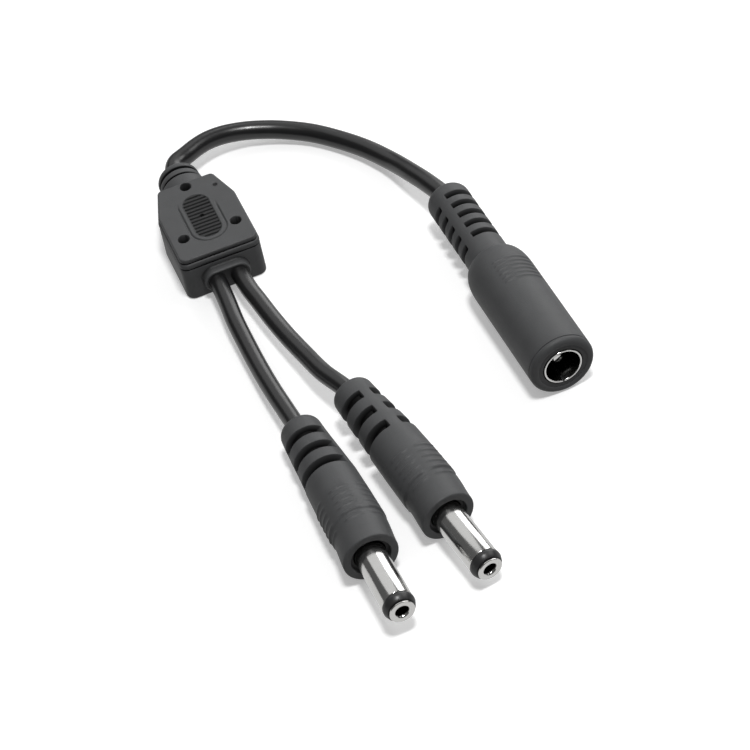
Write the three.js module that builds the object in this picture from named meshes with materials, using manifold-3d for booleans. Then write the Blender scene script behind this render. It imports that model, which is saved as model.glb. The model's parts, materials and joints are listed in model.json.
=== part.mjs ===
// Low-voltage power splitter cable: one barrel socket, a moulded splitter block and two barrel plugs.
// Millimetres. +Z is up, the block lies on z = 0 around the origin, and the plugs point along -Y.
import * as THREE from 'three';
import { mergeVertices } from 'three/addons/utils/BufferGeometryUtils.js';
import Module from 'manifold-3d';

const wasm = await Module();
wasm.setup();

// Clearances: between pieces that meet, and between the thin contacts nested in a plug or socket
const pieceGap = 0.3;
const contactGap = 0.2;

// Working allowances: how far a cutter passes the surface it opens, how far a joined solid reaches into
// the one that carries it, the straight part left between two round ends, and the room under a connector
const cutOvershoot = 1.0;
const joinOverlap = 0.5;
const outlineSliver = 0.01;
const restClearance = 0.01;
const mergeTolerance = 1e-4;

// Cords: outer diameters, the insulated cores inside them, and how far apart a cord's two cores lie
const inputCordDiameter = 3.7;
const outputCordDiameter = 3.4;
const coreDiameter = 1.1;
const coreSpacing = 1.6;

// Splitter block: plan, thickness and edges
const blockLength = 21.6;
const blockWidth = 15.8;
const blockNarrowWidth = 11.4;
const blockShoulderY = 3.4;
const blockThickness = 9.6;
const blockWideCornerRadius = 1.7;
const blockShoulderRadius = 3.0;
const blockNarrowCornerRadius = 1.3;
const bottomChamfer = 0.4;
const ledgeDrop = 1.3;
const ledgeHeight = 0.4;
const ledgeWidth = 0.2;
const wallDraft = 0.06;
const topEdge = 0.2;
const topEdgeWidth = 0.15;

// Splitter block: cord exits
const outputCordSpacing = 4.3;
const outputCordHeight = 4.0;
const bossReach = 1.8;
const bossWall = 0.65;
const bossEdge = 0.4;

// Splitter block: ringed relief around the input cord
const neckRadius = 4.65;
const neckLength = 2.6;
const neckEdge = 0.3;
const neckRoot = 1.5;
const reliefGroove = 0.7;
const reliefGrooveRadius = 3.1;
const reliefRingRadius = 4.2;
const reliefRingWidth = 1.4;
const reliefShallowGrooveRadius = 3.5;
const reliefDomeRadius = 4.1;
const reliefDomeLength = 1.8;
const reliefEndRadius = 3.2;
const reliefMouthFlare = 0.3;
const reliefMouthLength = 2.0;

// Splitter block: marks left by the mould on the top face
const pinHoleDiameter = 2.2;
const pinHoleDepth = 2.2;
const pinHoleSideX = 5.15;
const pinHoleSideY = -4.6;
const pinHoleEndX = -0.3;
const pinHoleEndY = 9.1;
const dimpleDiameter = 0.9;
const dimpleDepth = 0.3;
const dimpleX = 4.9;
const dimpleY = 6.9;
const gatePitDiameter = 0.9;
const gatePitDepth = 0.9;
const padWidth = 5.0;
const padLength = 12.4;
const padCentreY = -0.15;
const padGrooveCount = 13;
const padGrooveWidth = 0.48;
const padGrooveDepth = 0.35;
const padBorderOffset = 0.8;
const padBorderWidth = 0.32;
const padBorderDepth = 0.25;
const padBorderTopY = 4.2;

// Splitter block: inner moulding and the two crimped splices
const innerMouldWidth = 6.8;
const innerMouldLength = 13.2;
const innerMouldHeight = 6.4;
const innerMouldFloor = 1.3;
const innerMouldSideWall = 0.5;
const innerMouldEndWall = 1.6;
const innerMouldFloorWall = 0.7;
const innerMouldEdge = 0.5;
const innerMouldCornerRadius = 1.0;
const spliceDiameter = 2.0;
const spliceRim = 0.2;
const spliceLength = 5.0;
const spliceSpacing = 2.4;
const spliceHeight = 4.45;
const spliceEndOffset = 0.75;

// Barrel plugs: moulded grip, from its front face backwards
const plugLength = 34.0;
const plugFrontRadius = 4.97;
const plugBellyRadius = 5.15;
const plugShoulderRadius = 4.8;
const plugReliefRadius = 4.6;
const plugReliefEndRadius = 3.8;
const plugEndEdge = 0.7;
const plugEndEdgeLength = 0.4;
const plugEndRound = 0.2;
const plugEndRoundLength = 1.2;
const plugCollarLength = 6.6;
const plugCollarStepLength = 0.3;
const plugWaistBulge = 0.05;
const plugFrontEdge = 0.3;
const plugFrontEdgeLength = 0.5;
const plugShoulderBehind = 19.4;
const plugSlotWidth = 2.0;
const plugSlotPitch = 4.45;
const plugSlotCount = 3;
const plugSlotFirstBehind = 20.35;
const plugSlotFloorRadius = 2.75;
const plugSlotArc = 152;
const plugFaceRecess = 0.8;
const plugFaceRecessRadius = 3.6;
const plugChamberRadius = 3.4;
const plugCordEndBehind = 17.0;
const plugCordSeat = 1.5;

// Barrel plugs: contacts
const barrelDiameter = 5.5;
const barrelWall = 0.35;
const barrelReach = 11.5;
const barrelTipEdge = 0.1;
const barrelTipEdgeLength = 0.15;
const barrelFlangeRadius = 3.5;
const barrelFlangeBehind = 3.3;
const barrelFlangeThickness = 1.2;
const barrelTabWidth = 1.6;
const barrelTabLength = 4.0;
const tipReach = 13.6;
const tipHeadFrontRadius = 2.5;
const tipHeadChamfer = 0.9;
const plugContactOuterRadius = 1.35;
const plugContactBoreRadius = 1.05;
const plugContactMouthRadius = 1.25;
const plugContactMouthDepth = 0.5;
const plugContactFaceRadius = 2.25;
const plugContactFaceThickness = 0.25;
const plugContactFloorBehind = 5.5;
const plugContactRearBehind = 6.5;
const plugContactTailRadius = 0.6;
const plugContactTailLength = 2.5;

// Barrel socket: moulded grip, from its front face backwards
const jackLength = 50.6;
const jackRadius = 6.1;
const jackShoulderBehind = 29.4;
const jackShoulderStep = 0.6;
const jackShoulderStepLength = 0.2;
const jackShoulderLength = 4.8;
const jackReliefRadius = 4.15;
const jackEndEdge = 0.8;
const jackEndEdgeLength = 0.5;
const jackEndRound = 0.25;
const jackEndRoundLength = 1.4;
const jackSlotWidth = 1.35;
const jackSlotPitch = 2.97;
const jackSlotCount = 5;
const jackSlotFirstBehind = 35.0;
const jackSlotStagger = 1.35;
const jackSlotFloorRadius = 2.8;
const jackSlotArc = 153;
const jackRimRadius = 5.2;
const jackRimLineBehind = 1.1;
const jackRimLineWidth = 0.25;
const jackRimLineDepth = 0.15;
const jackFaceStepRadius = 4.65;
const jackFaceStepDepth = 0.15;
const jackChamberDepth = 26.0;
const jackCordEndBehind = 28.0;

// Barrel socket: contacts
const sleeveOuterRadius = 3.6;
const sleeveBoreRadius = 3.25;
const sleeveLength = 11.5;
const sleeveSlitWidth = 0.35;
const sleeveSlitLength = 6.0;
const sleeveTabWidth = 1.8;
const sleeveTabLength = 5.5;
const carrierLength = 3.5;
const carrierFrontBehind = 10.3;
const pinDiameter = 2.1;
const pinTipBehind = 2.2;
const pinTipChamfer = 0.35;
const pinSplitWidth = 0.4;
const pinSplitLength = 5.8;
const pinFlangeRadius = 1.6;
const pinFlangeThickness = 0.9;
const pinTailRadius = 0.6;
const pinTailLength = 1.8;

// Where the two plugs and the socket lie: end of the relief in plan, heading from +X, tilt of the tip
// above level, and the direction of the web between the relief slots, clockwise from up as seen from behind
const plugPoses = {
  a: { reliefEnd: [-1.71, -55.94], heading: -88.69, tilt: 1.47, web: 64 },
  b: { reliefEnd: [9.08, -53.79], heading: -81.87, tilt: -2.45, web: 14 },
};
const jackPose = { reliefEnd: [42.86, -15.32], heading: -88.26, tilt: 0, web: -33.5 };
const sleeveSlitAngle = 185;
const pinSplitAngle = -28;

// Free stretches of the three cords, between the block and the end of each relief
const inputCordRoute = [
  [0.0, 17.0, 4.8],
  [0.05, 19.2, 4.8],
  [0.4, 20.9, 4.8],
  [1.3, 22.2, 4.8],
  [2.4, 22.9, 4.7],
  [3.5, 23.4, 4.7],
  [5.9, 24.7, 4.6],
  [8.7, 25.8, 4.4],
  [12.3, 26.4, 3.9],
  [16.5, 26.0, 3.3],
  [20.1, 24.8, 2.9],
  [23.0, 23.4, 2.6],
  [27.8, 20.1, 2.2],
  [31.8, 15.7, 2.1],
  [35.6, 10.0, 2.3],
  [38.6, 3.4, 2.8],
  [40.4, -3.8, 4.4],
  [41.65, -9.1, 5.4],
];
const outputCordRoutes = {
  a: [
    [-2.3, -17.9, 3.8],
    [-2.65, -23.9, 3.6],
    [-2.65, -29.9, 3.2],
    [-2.6, -35.2, 3.1],
    [-2.5, -40.3, 3.3],
    [-2.3, -45.4, 3.7],
    [-2.0, -50.1, 4.0],
  ],
  b: [
    [2.45, -17.4, 3.8],
    [2.95, -21.3, 3.8],
    [3.6, -26.6, 3.8],
    [4.5, -32.5, 3.9],
    [5.6, -39.0, 4.5],
    [6.75, -45.8, 5.5],
  ],
};

// Facets of round pieces
const gripFacets = 24;
const contactFacets = 16;
const cordSides = 8;
const holeFacets = 16;

const materials = {
  grip: new THREE.MeshStandardMaterial({ color: 0x3b3c3e, roughness: 0.55, metalness: 0 }),
  cord: new THREE.MeshStandardMaterial({ color: 0x1d1d1f, roughness: 0.3, metalness: 0 }),
  nickel: new THREE.MeshStandardMaterial({ color: 0xc9cbcc, roughness: 0.18, metalness: 1 }),
  insulator: new THREE.MeshStandardMaterial({ color: 0x161617, roughness: 0.45, metalness: 0 }),
  innerMould: new THREE.MeshStandardMaterial({ color: 0xd9d6cc, roughness: 0.6, metalness: 0 }),
  brass: new THREE.MeshStandardMaterial({ color: 0xc49a52, roughness: 0.3, metalness: 1 }),
  positive: new THREE.MeshStandardMaterial({ color: 0xa81f1c, roughness: 0.45, metalness: 0 }),
  negative: new THREE.MeshStandardMaterial({ color: 0x202022, roughness: 0.45, metalness: 0 }),
};

const radians = THREE.MathUtils.degToRad;

// Closed three.js geometry to a solid that can be cut and joined, and back

function toSolid(geometry) {
  geometry.deleteAttribute('normal');
  geometry.deleteAttribute('uv');
  const merged = mergeVertices(geometry, mergeTolerance);
  const triangles = [];
  for (let i = 0; i < merged.index.count; i += 3) {
    const [a, b, c] = [merged.index.getX(i), merged.index.getX(i + 1), merged.index.getX(i + 2)];
    if (a !== b && b !== c && c !== a) triangles.push(a, b, c);
  }
  const vertProperties = new Float32Array(merged.attributes.position.array);
  const triVerts = new Uint32Array(triangles);
  return new wasm.Manifold(new wasm.Mesh({ numProp: 3, vertProperties, triVerts }));
}

function toGeometry(solid) {
  const mesh = solid.getMesh();
  const geometry = new THREE.BufferGeometry();
  geometry.setAttribute('position', new THREE.BufferAttribute(new Float32Array(mesh.vertProperties), 3));
  geometry.setIndex(new THREE.BufferAttribute(new Uint32Array(mesh.triVerts), 1));
  geometry.computeVertexNormals();
  return geometry;
}

// Basic shapes

function box(low, high) {
  const size = high.map((value, i) => value - low[i]);
  const geometry = new THREE.BoxGeometry(...size);
  geometry.translate(...low.map((value, i) => value + size[i] / 2));
  return toSolid(geometry);
}

// Turned solid about +Z from [radius, z] pairs, going from the rear up the outside and back down a bore
function turned(profile, facets) {
  const geometry = new THREE.LatheGeometry(profile.map(([r, z]) => new THREE.Vector2(r, z)), facets);
  geometry.rotateX(Math.PI / 2);
  geometry.scale(1, -1, 1);
  const index = geometry.index.array;
  for (let i = 0; i < index.length; i += 3) [index[i], index[i + 1]] = [index[i + 1], index[i]];
  return toSolid(geometry);
}

// Turned solid about +Y through [x, z], for the parts of the block that run along it
function turnedAlongY(profile, facets, x, z) {
  const geometry = new THREE.LatheGeometry(profile.map(([r, y]) => new THREE.Vector2(r, y)), facets);
  geometry.translate(x, 0, z);
  return toSolid(geometry);
}

function prism(outline, low, high) {
  const geometry = new THREE.ExtrudeGeometry(new THREE.Shape(outline), { depth: high - low, bevelEnabled: false });
  geometry.translate(0, 0, low);
  return toSolid(geometry);
}

// Outline of a polygon with rounded corners, moved inwards by inset; every inset has as many points
function roundedOutline(corners, inset, stepsPerCorner) {
  const points = [];
  const count = corners.length;
  for (let i = 0; i < count; i += 1) {
    const corner = new THREE.Vector2(...corners[i].at);
    const before = new THREE.Vector2(...corners[(i + count - 1) % count].at);
    const after = new THREE.Vector2(...corners[(i + 1) % count].at);
    const incoming = corner.clone().sub(before).normalize();
    const outgoing = after.clone().sub(corner).normalize();
    const start = Math.atan2(-incoming.x, incoming.y);
    const turn = Math.atan2(incoming.cross(outgoing), incoming.dot(outgoing));
    const reach = corners[i].radius / Math.cos(turn / 2);
    const middle = start + turn / 2;
    const centre = corner.clone().sub(new THREE.Vector2(Math.cos(middle), Math.sin(middle)).multiplyScalar(reach));
    for (let k = 0; k <= stepsPerCorner; k += 1) {
      const angle = start + (turn * k) / stepsPerCorner;
      const radius = corners[i].radius - inset;
      points.push(new THREE.Vector2(centre.x + radius * Math.cos(angle), centre.y + radius * Math.sin(angle)));
    }
  }
  return points;
}

// Solid through the same rounded polygon at several heights, from [z, inset] pairs going up
function lofted(corners, levels, stepsPerCorner) {
  const rings = levels.map(([, inset]) => roundedOutline(corners, inset, stepsPerCorner));
  const count = rings[0].length;
  const positions = rings.flatMap((ring, k) => ring.flatMap((p) => [p.x, p.y, levels[k][0]]));
  const index = [];
  for (let k = 0; k + 1 < rings.length; k += 1) {
    for (let i = 0; i < count; i += 1) {
      const [a, b] = [k * count + i, k * count + ((i + 1) % count)];
      index.push(a, b, b + count, a, b + count, a + count);
    }
  }
  const top = (rings.length - 1) * count;
  for (const [a, b, c] of THREE.ShapeUtils.triangulateShape(rings[0], [])) index.push(c, b, a);
  for (const [a, b, c] of THREE.ShapeUtils.triangulateShape(rings.at(-1), [])) index.push(top + a, top + b, top + c);
  const geometry = new THREE.BufferGeometry();
  geometry.setAttribute('position', new THREE.Float32BufferAttribute(positions, 3));
  geometry.setIndex(index);
  return toSolid(geometry);
}

function rectangleCorners(halfWidth, halfLength, radius, centreX = 0, centreY = 0) {
  return [
    { at: [centreX - halfWidth, centreY - halfLength], radius },
    { at: [centreX + halfWidth, centreY - halfLength], radius },
    { at: [centreX + halfWidth, centreY + halfLength], radius },
    { at: [centreX - halfWidth, centreY + halfLength], radius },
  ];
}

// Part of a ring about +Z between two angles, clockwise from +Y, and two heights
function ringSector(innerRadius, outerRadius, fromAngle, toAngle, low, high) {
  const steps = 8;
  const at = (radius, k) => {
    const angle = radians(fromAngle + ((toAngle - fromAngle) * k) / steps);
    return new THREE.Vector2(radius * Math.sin(angle), radius * Math.cos(angle));
  };
  const inner = Array.from({ length: steps + 1 }, (_, k) => at(innerRadius, k));
  const outer = Array.from({ length: steps + 1 }, (_, k) => at(outerRadius, steps - k));
  return prism([...inner, ...outer], low, high);
}

// Tube of a round cord or core along a smooth line through points
function tube(points, diameter, steps) {
  const path = new THREE.CatmullRomCurve3(points.map((p) => new THREE.Vector3(...p)), false, 'centripetal');
  const section = new THREE.Shape();
  for (let i = 0; i < cordSides; i += 1) {
    const angle = (2 * Math.PI * (i + 0.5)) / cordSides;
    const [x, y] = [(diameter / 2) * Math.cos(angle), (diameter / 2) * Math.sin(angle)];
    if (i === 0) section.moveTo(x, y);
    else section.lineTo(x, y);
  }
  section.closePath();
  return toSolid(new THREE.ExtrudeGeometry(section, { steps, extrudePath: path, bevelEnabled: false }));
}

// Points of a quarter ellipse that leaves one [radius, z] squarely and levels out at the other
function quarterRound([fromRadius, fromZ], [toRadius, toZ], steps) {
  return Array.from({ length: steps + 1 }, (_, k) => {
    const angle = (Math.PI / 2) * (k / steps);
    return [fromRadius + (toRadius - fromRadius) * Math.sin(angle), fromZ + (toZ - fromZ) * (1 - Math.cos(angle))];
  });
}

function cut(solid, cutters) {
  return cutters.reduce((left, cutter) => left.subtract(cutter), solid);
}

function addPiece(group, name, solid, material) {
  const mesh = new THREE.Mesh(toGeometry(solid), material.clone());
  mesh.name = name;
  group.add(mesh);
}

// Splitter block

const reliefHeight = blockThickness / 2;
const reliefEndY = blockLength / 2 + neckLength + 2 * reliefGroove + reliefRingWidth + reliefDomeLength;
const innerMouldEndY = innerMouldLength / 2;
const chamberEndY = innerMouldEndY + pieceGap;
const bossFrontY = -blockLength / 2 - bossReach;

function blockCorners() {
  const [wide, narrow, end] = [blockWidth / 2, blockNarrowWidth / 2, blockLength / 2];
  return [
    { at: [-wide, -end], radius: blockWideCornerRadius },
    { at: [wide, -end], radius: blockWideCornerRadius },
    { at: [wide, blockShoulderY], radius: blockShoulderRadius },
    { at: [narrow, end], radius: blockNarrowCornerRadius },
    { at: [-narrow, end], radius: blockNarrowCornerRadius },
    { at: [-wide, blockShoulderY], radius: blockShoulderRadius },
  ];
}

// Body with a chamfered foot, slightly drawn-in walls and a raised top plate set in by a small ledge
function blockBody() {
  const ledge = blockThickness - ledgeDrop;
  const plate = wallDraft + ledgeWidth;
  return lofted(blockCorners(), [
    [0, bottomChamfer],
    [bottomChamfer, 0],
    [ledge - ledgeHeight, wallDraft],
    [ledge, plate],
    [blockThickness - topEdge, plate],
    [blockThickness, plate + topEdgeWidth],
  ], 3);
}

// Flat oval boss that the two output cords leave through
function outputBoss() {
  const halfHeight = outputCordDiameter / 2 + bossWall;
  const halfWidth = outputCordSpacing / 2 + halfHeight;
  const corners = rectangleCorners(halfWidth, halfHeight, halfHeight - outlineSliver, 0, outputCordHeight);
  const solid = lofted(corners, [[-joinOverlap, 0], [bossReach - bossEdge, 0], [bossReach, bossEdge]], 4);
  return solid.rotate([90, 0, 0]).translate([0, -blockLength / 2, 0]);
}

// Neck, one ring between two grooves and a domed end, around the input cord
function inputRelief() {
  const start = blockLength / 2;
  const neckEnd = start + neckLength;
  const ringStart = neckEnd + reliefGroove;
  const ringEnd = ringStart + reliefRingWidth;
  const domeStart = ringEnd + reliefGroove;
  const domeMiddle = domeStart + reliefDomeLength / 2;
  return turnedAlongY([
    [0, start - neckRoot],
    [neckRadius, start - neckRoot],
    [neckRadius, neckEnd - neckEdge],
    [neckRadius - neckEdge, neckEnd],
    [reliefGrooveRadius, neckEnd],
    [reliefGrooveRadius, ringStart],
    [reliefRingRadius, ringStart],
    [reliefRingRadius, ringEnd],
    [reliefShallowGrooveRadius, ringEnd],
    [reliefShallowGrooveRadius, domeStart],
    [reliefDomeRadius, domeStart],
    ...quarterRound([reliefEndRadius, reliefEndY], [reliefDomeRadius, domeMiddle], 3).reverse(),
    [0, reliefEndY],
  ], gripFacets, 0, reliefHeight);
}

function cordChannels() {
  const input = inputCordDiameter / 2 + pieceGap;
  const output = outputCordDiameter / 2 + pieceGap;
  const inputChannel = turnedAlongY([
    [0, chamberEndY - joinOverlap],
    [input, chamberEndY - joinOverlap],
    [input, reliefEndY - reliefMouthLength],
    [input + reliefMouthFlare, reliefEndY],
    [input + reliefMouthFlare, reliefEndY + cutOvershoot],
    [0, reliefEndY + cutOvershoot],
  ], holeFacets, 0, reliefHeight);
  const outputChannels = [-1, 1].map((side) => turnedAlongY([
    [0, bossFrontY - cutOvershoot],
    [output, bossFrontY - cutOvershoot],
    [output, -chamberEndY + joinOverlap],
    [0, -chamberEndY + joinOverlap],
  ], holeFacets, (side * outputCordSpacing) / 2, outputCordHeight));
  return [inputChannel, ...outputChannels];
}

function roundPit(x, y, diameter, depth) {
  const top = blockThickness + cutOvershoot;
  const profile = [[0, blockThickness - depth], [diameter / 2, blockThickness - depth], [diameter / 2, top], [0, top]];
  return turned(profile, holeFacets).translate([x, y, 0]);
}

// Holes left by the mould's pins, a small dimple and the gate's pit
function mouldMarks() {
  return [
    roundPit(-pinHoleSideX, pinHoleSideY, pinHoleDiameter, pinHoleDepth),
    roundPit(pinHoleSideX, pinHoleSideY, pinHoleDiameter, pinHoleDepth),
    roundPit(pinHoleEndX, pinHoleEndY, pinHoleDiameter, pinHoleDepth),
    roundPit(dimpleX, dimpleY, dimpleDiameter, dimpleDepth),
    roundPit(0, 0, gatePitDiameter, gatePitDepth),
  ];
}

function padOutline(grow) {
  const halfWidth = padWidth / 2 + grow;
  const corners = rectangleCorners(halfWidth, padLength / 2 + grow, halfWidth - outlineSliver, 0, padCentreY);
  return roundedOutline(corners, 0, 4);
}

// Cross grooves of the oval finger pad, and the open loop of a groove around its lower end
function padGrooves() {
  const top = blockThickness + cutOvershoot;
  const oval = prism(padOutline(0), blockThickness - padGrooveDepth, top);
  const pitch = (padLength - padGrooveWidth) / padGrooveCount;
  const grooves = [];
  for (let i = 0; i < padGrooveCount; i += 1) {
    const y = padCentreY + (i - (padGrooveCount - 1) / 2) * pitch;
    const bar = box([-padWidth, y - padGrooveWidth / 2, 0], [padWidth, y + padGrooveWidth / 2, top]);
    grooves.push(oval.intersect(bar));
  }
  const outer = prism(padOutline(padBorderOffset + padBorderWidth), blockThickness - padBorderDepth, top);
  const inner = prism(padOutline(padBorderOffset), 0, top);
  const lower = box([-padLength, -padLength, 0], [padLength, padBorderTopY, top]);
  return [...grooves, outer.subtract(inner).intersect(lower)];
}

function mouldChamber() {
  const half = innerMouldWidth / 2 + pieceGap;
  const low = innerMouldFloor - pieceGap;
  return box([-half, -chamberEndY, low], [half, chamberEndY, innerMouldFloor + innerMouldHeight + pieceGap]);
}

function overmould() {
  const whole = blockBody().add(outputBoss()).add(inputRelief());
  return cut(whole, [mouldChamber(), ...cordChannels(), ...mouldMarks(), ...padGrooves()]);
}

// Lowest and highest that a cord's two cores reach on their way to the splices, with the gap around them
function coreHeights(cordHeight) {
  const around = coreDiameter / 2 + pieceGap;
  return [
    Math.min(cordHeight - coreSpacing / 2, spliceHeight - spliceSpacing / 2) - around,
    Math.max(cordHeight + coreSpacing / 2, spliceHeight + spliceSpacing / 2) + around,
  ];
}

// Inner moulding around the splices, open at both ends for the cores
function innerMould() {
  const half = innerMouldWidth / 2;
  const top = innerMouldFloor + innerMouldHeight;
  const body = lofted(rectangleCorners(half, innerMouldEndY, innerMouldCornerRadius), [
    [innerMouldFloor, innerMouldEdge],
    [innerMouldFloor + innerMouldEdge, 0],
    [top - innerMouldEdge, 0],
    [top, innerMouldEdge],
  ], 2);
  const inside = half - innerMouldSideWall;
  const cavityEnd = innerMouldEndY - innerMouldEndWall;
  const cavity = box([-inside, -cavityEnd, innerMouldFloor + innerMouldFloorWall],
    [inside, cavityEnd, top - innerMouldFloorWall]);
  const [inputLow, inputHigh] = coreHeights(reliefHeight);
  const [outputLow, outputHigh] = coreHeights(outputCordHeight);
  const inputHalfWidth = coreDiameter / 2 + pieceGap;
  const outputHalfWidth = Math.min(inside, outputCordSpacing / 2 + inputHalfWidth);
  const inputSlot = box([-inputHalfWidth, 0, inputLow], [inputHalfWidth, innerMouldLength, inputHigh]);
  const outputSlot = box([-outputHalfWidth, -innerMouldLength, outputLow], [outputHalfWidth, 0, outputHigh]);
  return cut(body, [cavity, inputSlot, outputSlot]);
}

// Crimped splice of one pole, and the three cores that meet in it
function splice(sign) {
  const half = spliceLength / 2;
  return turnedAlongY([
    [0, -half],
    [spliceDiameter / 2 - spliceRim, -half],
    [spliceDiameter / 2, -half + spliceRim],
    [spliceDiameter / 2, half - spliceRim],
    [spliceDiameter / 2 - spliceRim, half],
    [0, half],
  ], contactFacets, 0, spliceHeight + (sign * spliceSpacing) / 2);
}

function spliceCore(sign, side) {
  const spliceZ = spliceHeight + (sign * spliceSpacing) / 2;
  const towards = side === 0 ? 1 : -1;
  const outer = innerMouldEndY;
  const cordZ = (side === 0 ? reliefHeight : outputCordHeight) + (sign * coreSpacing) / 2;
  const cordX = (side * outputCordSpacing) / 2;
  const spliceX = side * spliceEndOffset;
  const inner = spliceLength / 2 + pieceGap;
  const bend = (outer - inner) / 3;
  return tube([
    [cordX, towards * outer, cordZ],
    [cordX, towards * (outer - bend), cordZ],
    [spliceX, towards * (inner + bend), spliceZ],
    [spliceX, towards * inner, spliceZ],
  ], coreDiameter, 6);
}

function splitterBlock() {
  const group = new THREE.Group();
  addPiece(group, 'splitter_overmould', overmould(), materials.grip);
  addPiece(group, 'splitter_inner_mould', innerMould(), materials.innerMould);
  for (const [pole, sign] of [['positive', 1], ['negative', -1]]) {
    addPiece(group, `splice_${pole}`, splice(sign), materials.brass);
    addPiece(group, `splice_core_input_${pole}`, spliceCore(sign, 0), materials[pole]);
    addPiece(group, `splice_core_output_a_${pole}`, spliceCore(sign, -1), materials[pole]);
    addPiece(group, `splice_core_output_b_${pole}`, spliceCore(sign, 1), materials[pole]);
  }
  return group;
}

// Connectors are modelled with their front face at z = 0, their tip or mouth along +Z and +Y upwards

// Group for a connector that lies on the surface with the end of its relief where its pose says. The height
// comes from the fattest place of the grip's outline, which is [radius, z] pairs.
function laid(pose, length, outline) {
  const [heading, tilt] = [radians(pose.heading), radians(pose.tilt)];
  const axis = new THREE.Vector3(
    Math.cos(heading) * Math.cos(tilt), Math.sin(heading) * Math.cos(tilt), Math.sin(tilt));
  const side = new THREE.Vector3(-Math.sin(heading), Math.cos(heading), 0);
  const up = axis.clone().cross(side);
  const height = Math.max(...outline.map(([r, z]) => r * Math.cos(tilt) - z * Math.sin(tilt)));
  const group = new THREE.Group();
  group.quaternion.setFromRotationMatrix(new THREE.Matrix4().makeBasis(side, up, axis));
  group.position.set(
    pose.reliefEnd[0] + length * axis.x, pose.reliefEnd[1] + length * axis.y, height + restClearance);
  group.updateMatrixWorld();
  return group;
}

// Point on a connector's axis, a distance behind its front face
function behindFront(connector, distance) {
  return new THREE.Vector3(0, 0, -distance).applyMatrix4(connector.matrixWorld).toArray();
}

// Relief slots on both sides of a web that runs along the grip
function reliefSlots({ web, arc, width, pitch, count, first, stagger, floorRadius, outerRadius }) {
  const slots = [];
  for (const [side, shift] of [[90, 0], [-90, stagger]]) {
    for (let i = 0; i < count; i += 1) {
      const behind = first + i * pitch - shift;
      const middle = web + side;
      slots.push(ringSector(floorRadius, outerRadius + cutOvershoot, middle - arc / 2, middle + arc / 2,
        -behind - width / 2, -behind + width / 2));
    }
  }
  return slots;
}

// Barrel plug

// Outside of a plug's grip, from the end of its relief to its front face
const plugOutline = [
  [plugReliefEndRadius - plugEndEdge, -plugLength],
  [plugReliefEndRadius - plugEndRound, -plugLength + plugEndEdgeLength],
  [plugReliefEndRadius, -plugLength + plugEndRoundLength],
  [plugReliefRadius, -plugShoulderBehind - plugSlotWidth],
  [plugShoulderRadius, -plugShoulderBehind],
  [(plugShoulderRadius + plugBellyRadius) / 2 + plugWaistBulge, -(plugShoulderBehind + plugCollarLength) / 2],
  [plugBellyRadius, -plugCollarLength - plugCollarStepLength],
  [plugFrontRadius, -plugCollarLength],
  [plugFrontRadius, -plugFrontEdgeLength],
  [plugFrontRadius - plugFrontEdge, 0],
];

const plugs = {
  a: laid(plugPoses.a, plugLength, plugOutline),
  b: laid(plugPoses.b, plugLength, plugOutline),
};

function plugGrip(web) {
  const seat = barrelDiameter / 2 + pieceGap;
  const flangeSeat = barrelFlangeRadius + pieceGap;
  const flangeFront = -barrelFlangeBehind + pieceGap;
  const flangeRear = -barrelFlangeBehind - barrelFlangeThickness - pieceGap;
  const cordBore = outputCordDiameter / 2 + pieceGap;
  const chamberRear = -plugCordEndBehind + plugCordSeat;
  const solid = turned([
    [cordBore, -plugLength],
    ...plugOutline,
    [plugFaceRecessRadius, 0],
    [plugFaceRecessRadius, -plugFaceRecess],
    [seat, -plugFaceRecess],
    [seat, flangeFront],
    [flangeSeat, flangeFront],
    [flangeSeat, flangeRear],
    [plugChamberRadius, flangeRear],
    [plugChamberRadius, chamberRear],
    [cordBore, chamberRear],
    [cordBore, -plugLength],
  ], gripFacets);
  return cut(solid, reliefSlots({
    web,
    arc: plugSlotArc,
    width: plugSlotWidth,
    pitch: plugSlotPitch,
    count: plugSlotCount,
    first: plugSlotFirstBehind,
    stagger: 0,
    floorRadius: plugSlotFloorRadius,
    outerRadius: plugShoulderRadius,
  }));
}

// Outer contact: a plain sleeve with a flange moulded into the grip and a solder tab behind it
function plugBarrel() {
  const outer = barrelDiameter / 2;
  const inner = outer - barrelWall;
  const flangeFront = -barrelFlangeBehind;
  const rear = flangeFront - barrelFlangeThickness;
  const sleeve = turned([
    [inner, rear],
    [barrelFlangeRadius, rear],
    [barrelFlangeRadius, flangeFront],
    [outer, flangeFront],
    [outer, barrelReach - barrelTipEdgeLength],
    [outer - barrelTipEdge, barrelReach],
    [inner, barrelReach],
    [inner, rear],
  ], contactFacets);
  const tab = box([-barrelTabWidth / 2, -outer, rear - barrelTabLength],
    [barrelTabWidth / 2, -inner, rear + joinOverlap]);
  return sleeve.add(tab);
}

// Black insulator: a stem inside the sleeve and a chamfered head in front of it
function plugTipInsulator() {
  const stem = barrelDiameter / 2 - barrelWall - contactGap;
  const bore = plugContactOuterRadius + contactGap;
  const headRear = barrelReach + contactGap;
  const headFront = tipReach - plugContactFaceThickness - contactGap;
  return turned([
    [bore, -barrelFlangeBehind],
    [stem, -barrelFlangeBehind],
    [stem, headRear],
    [barrelDiameter / 2, headRear],
    [barrelDiameter / 2, headFront - tipHeadChamfer],
    [tipHeadFrontRadius, headFront],
    [bore, headFront],
    [bore, -barrelFlangeBehind],
  ], contactFacets);
}

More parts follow.
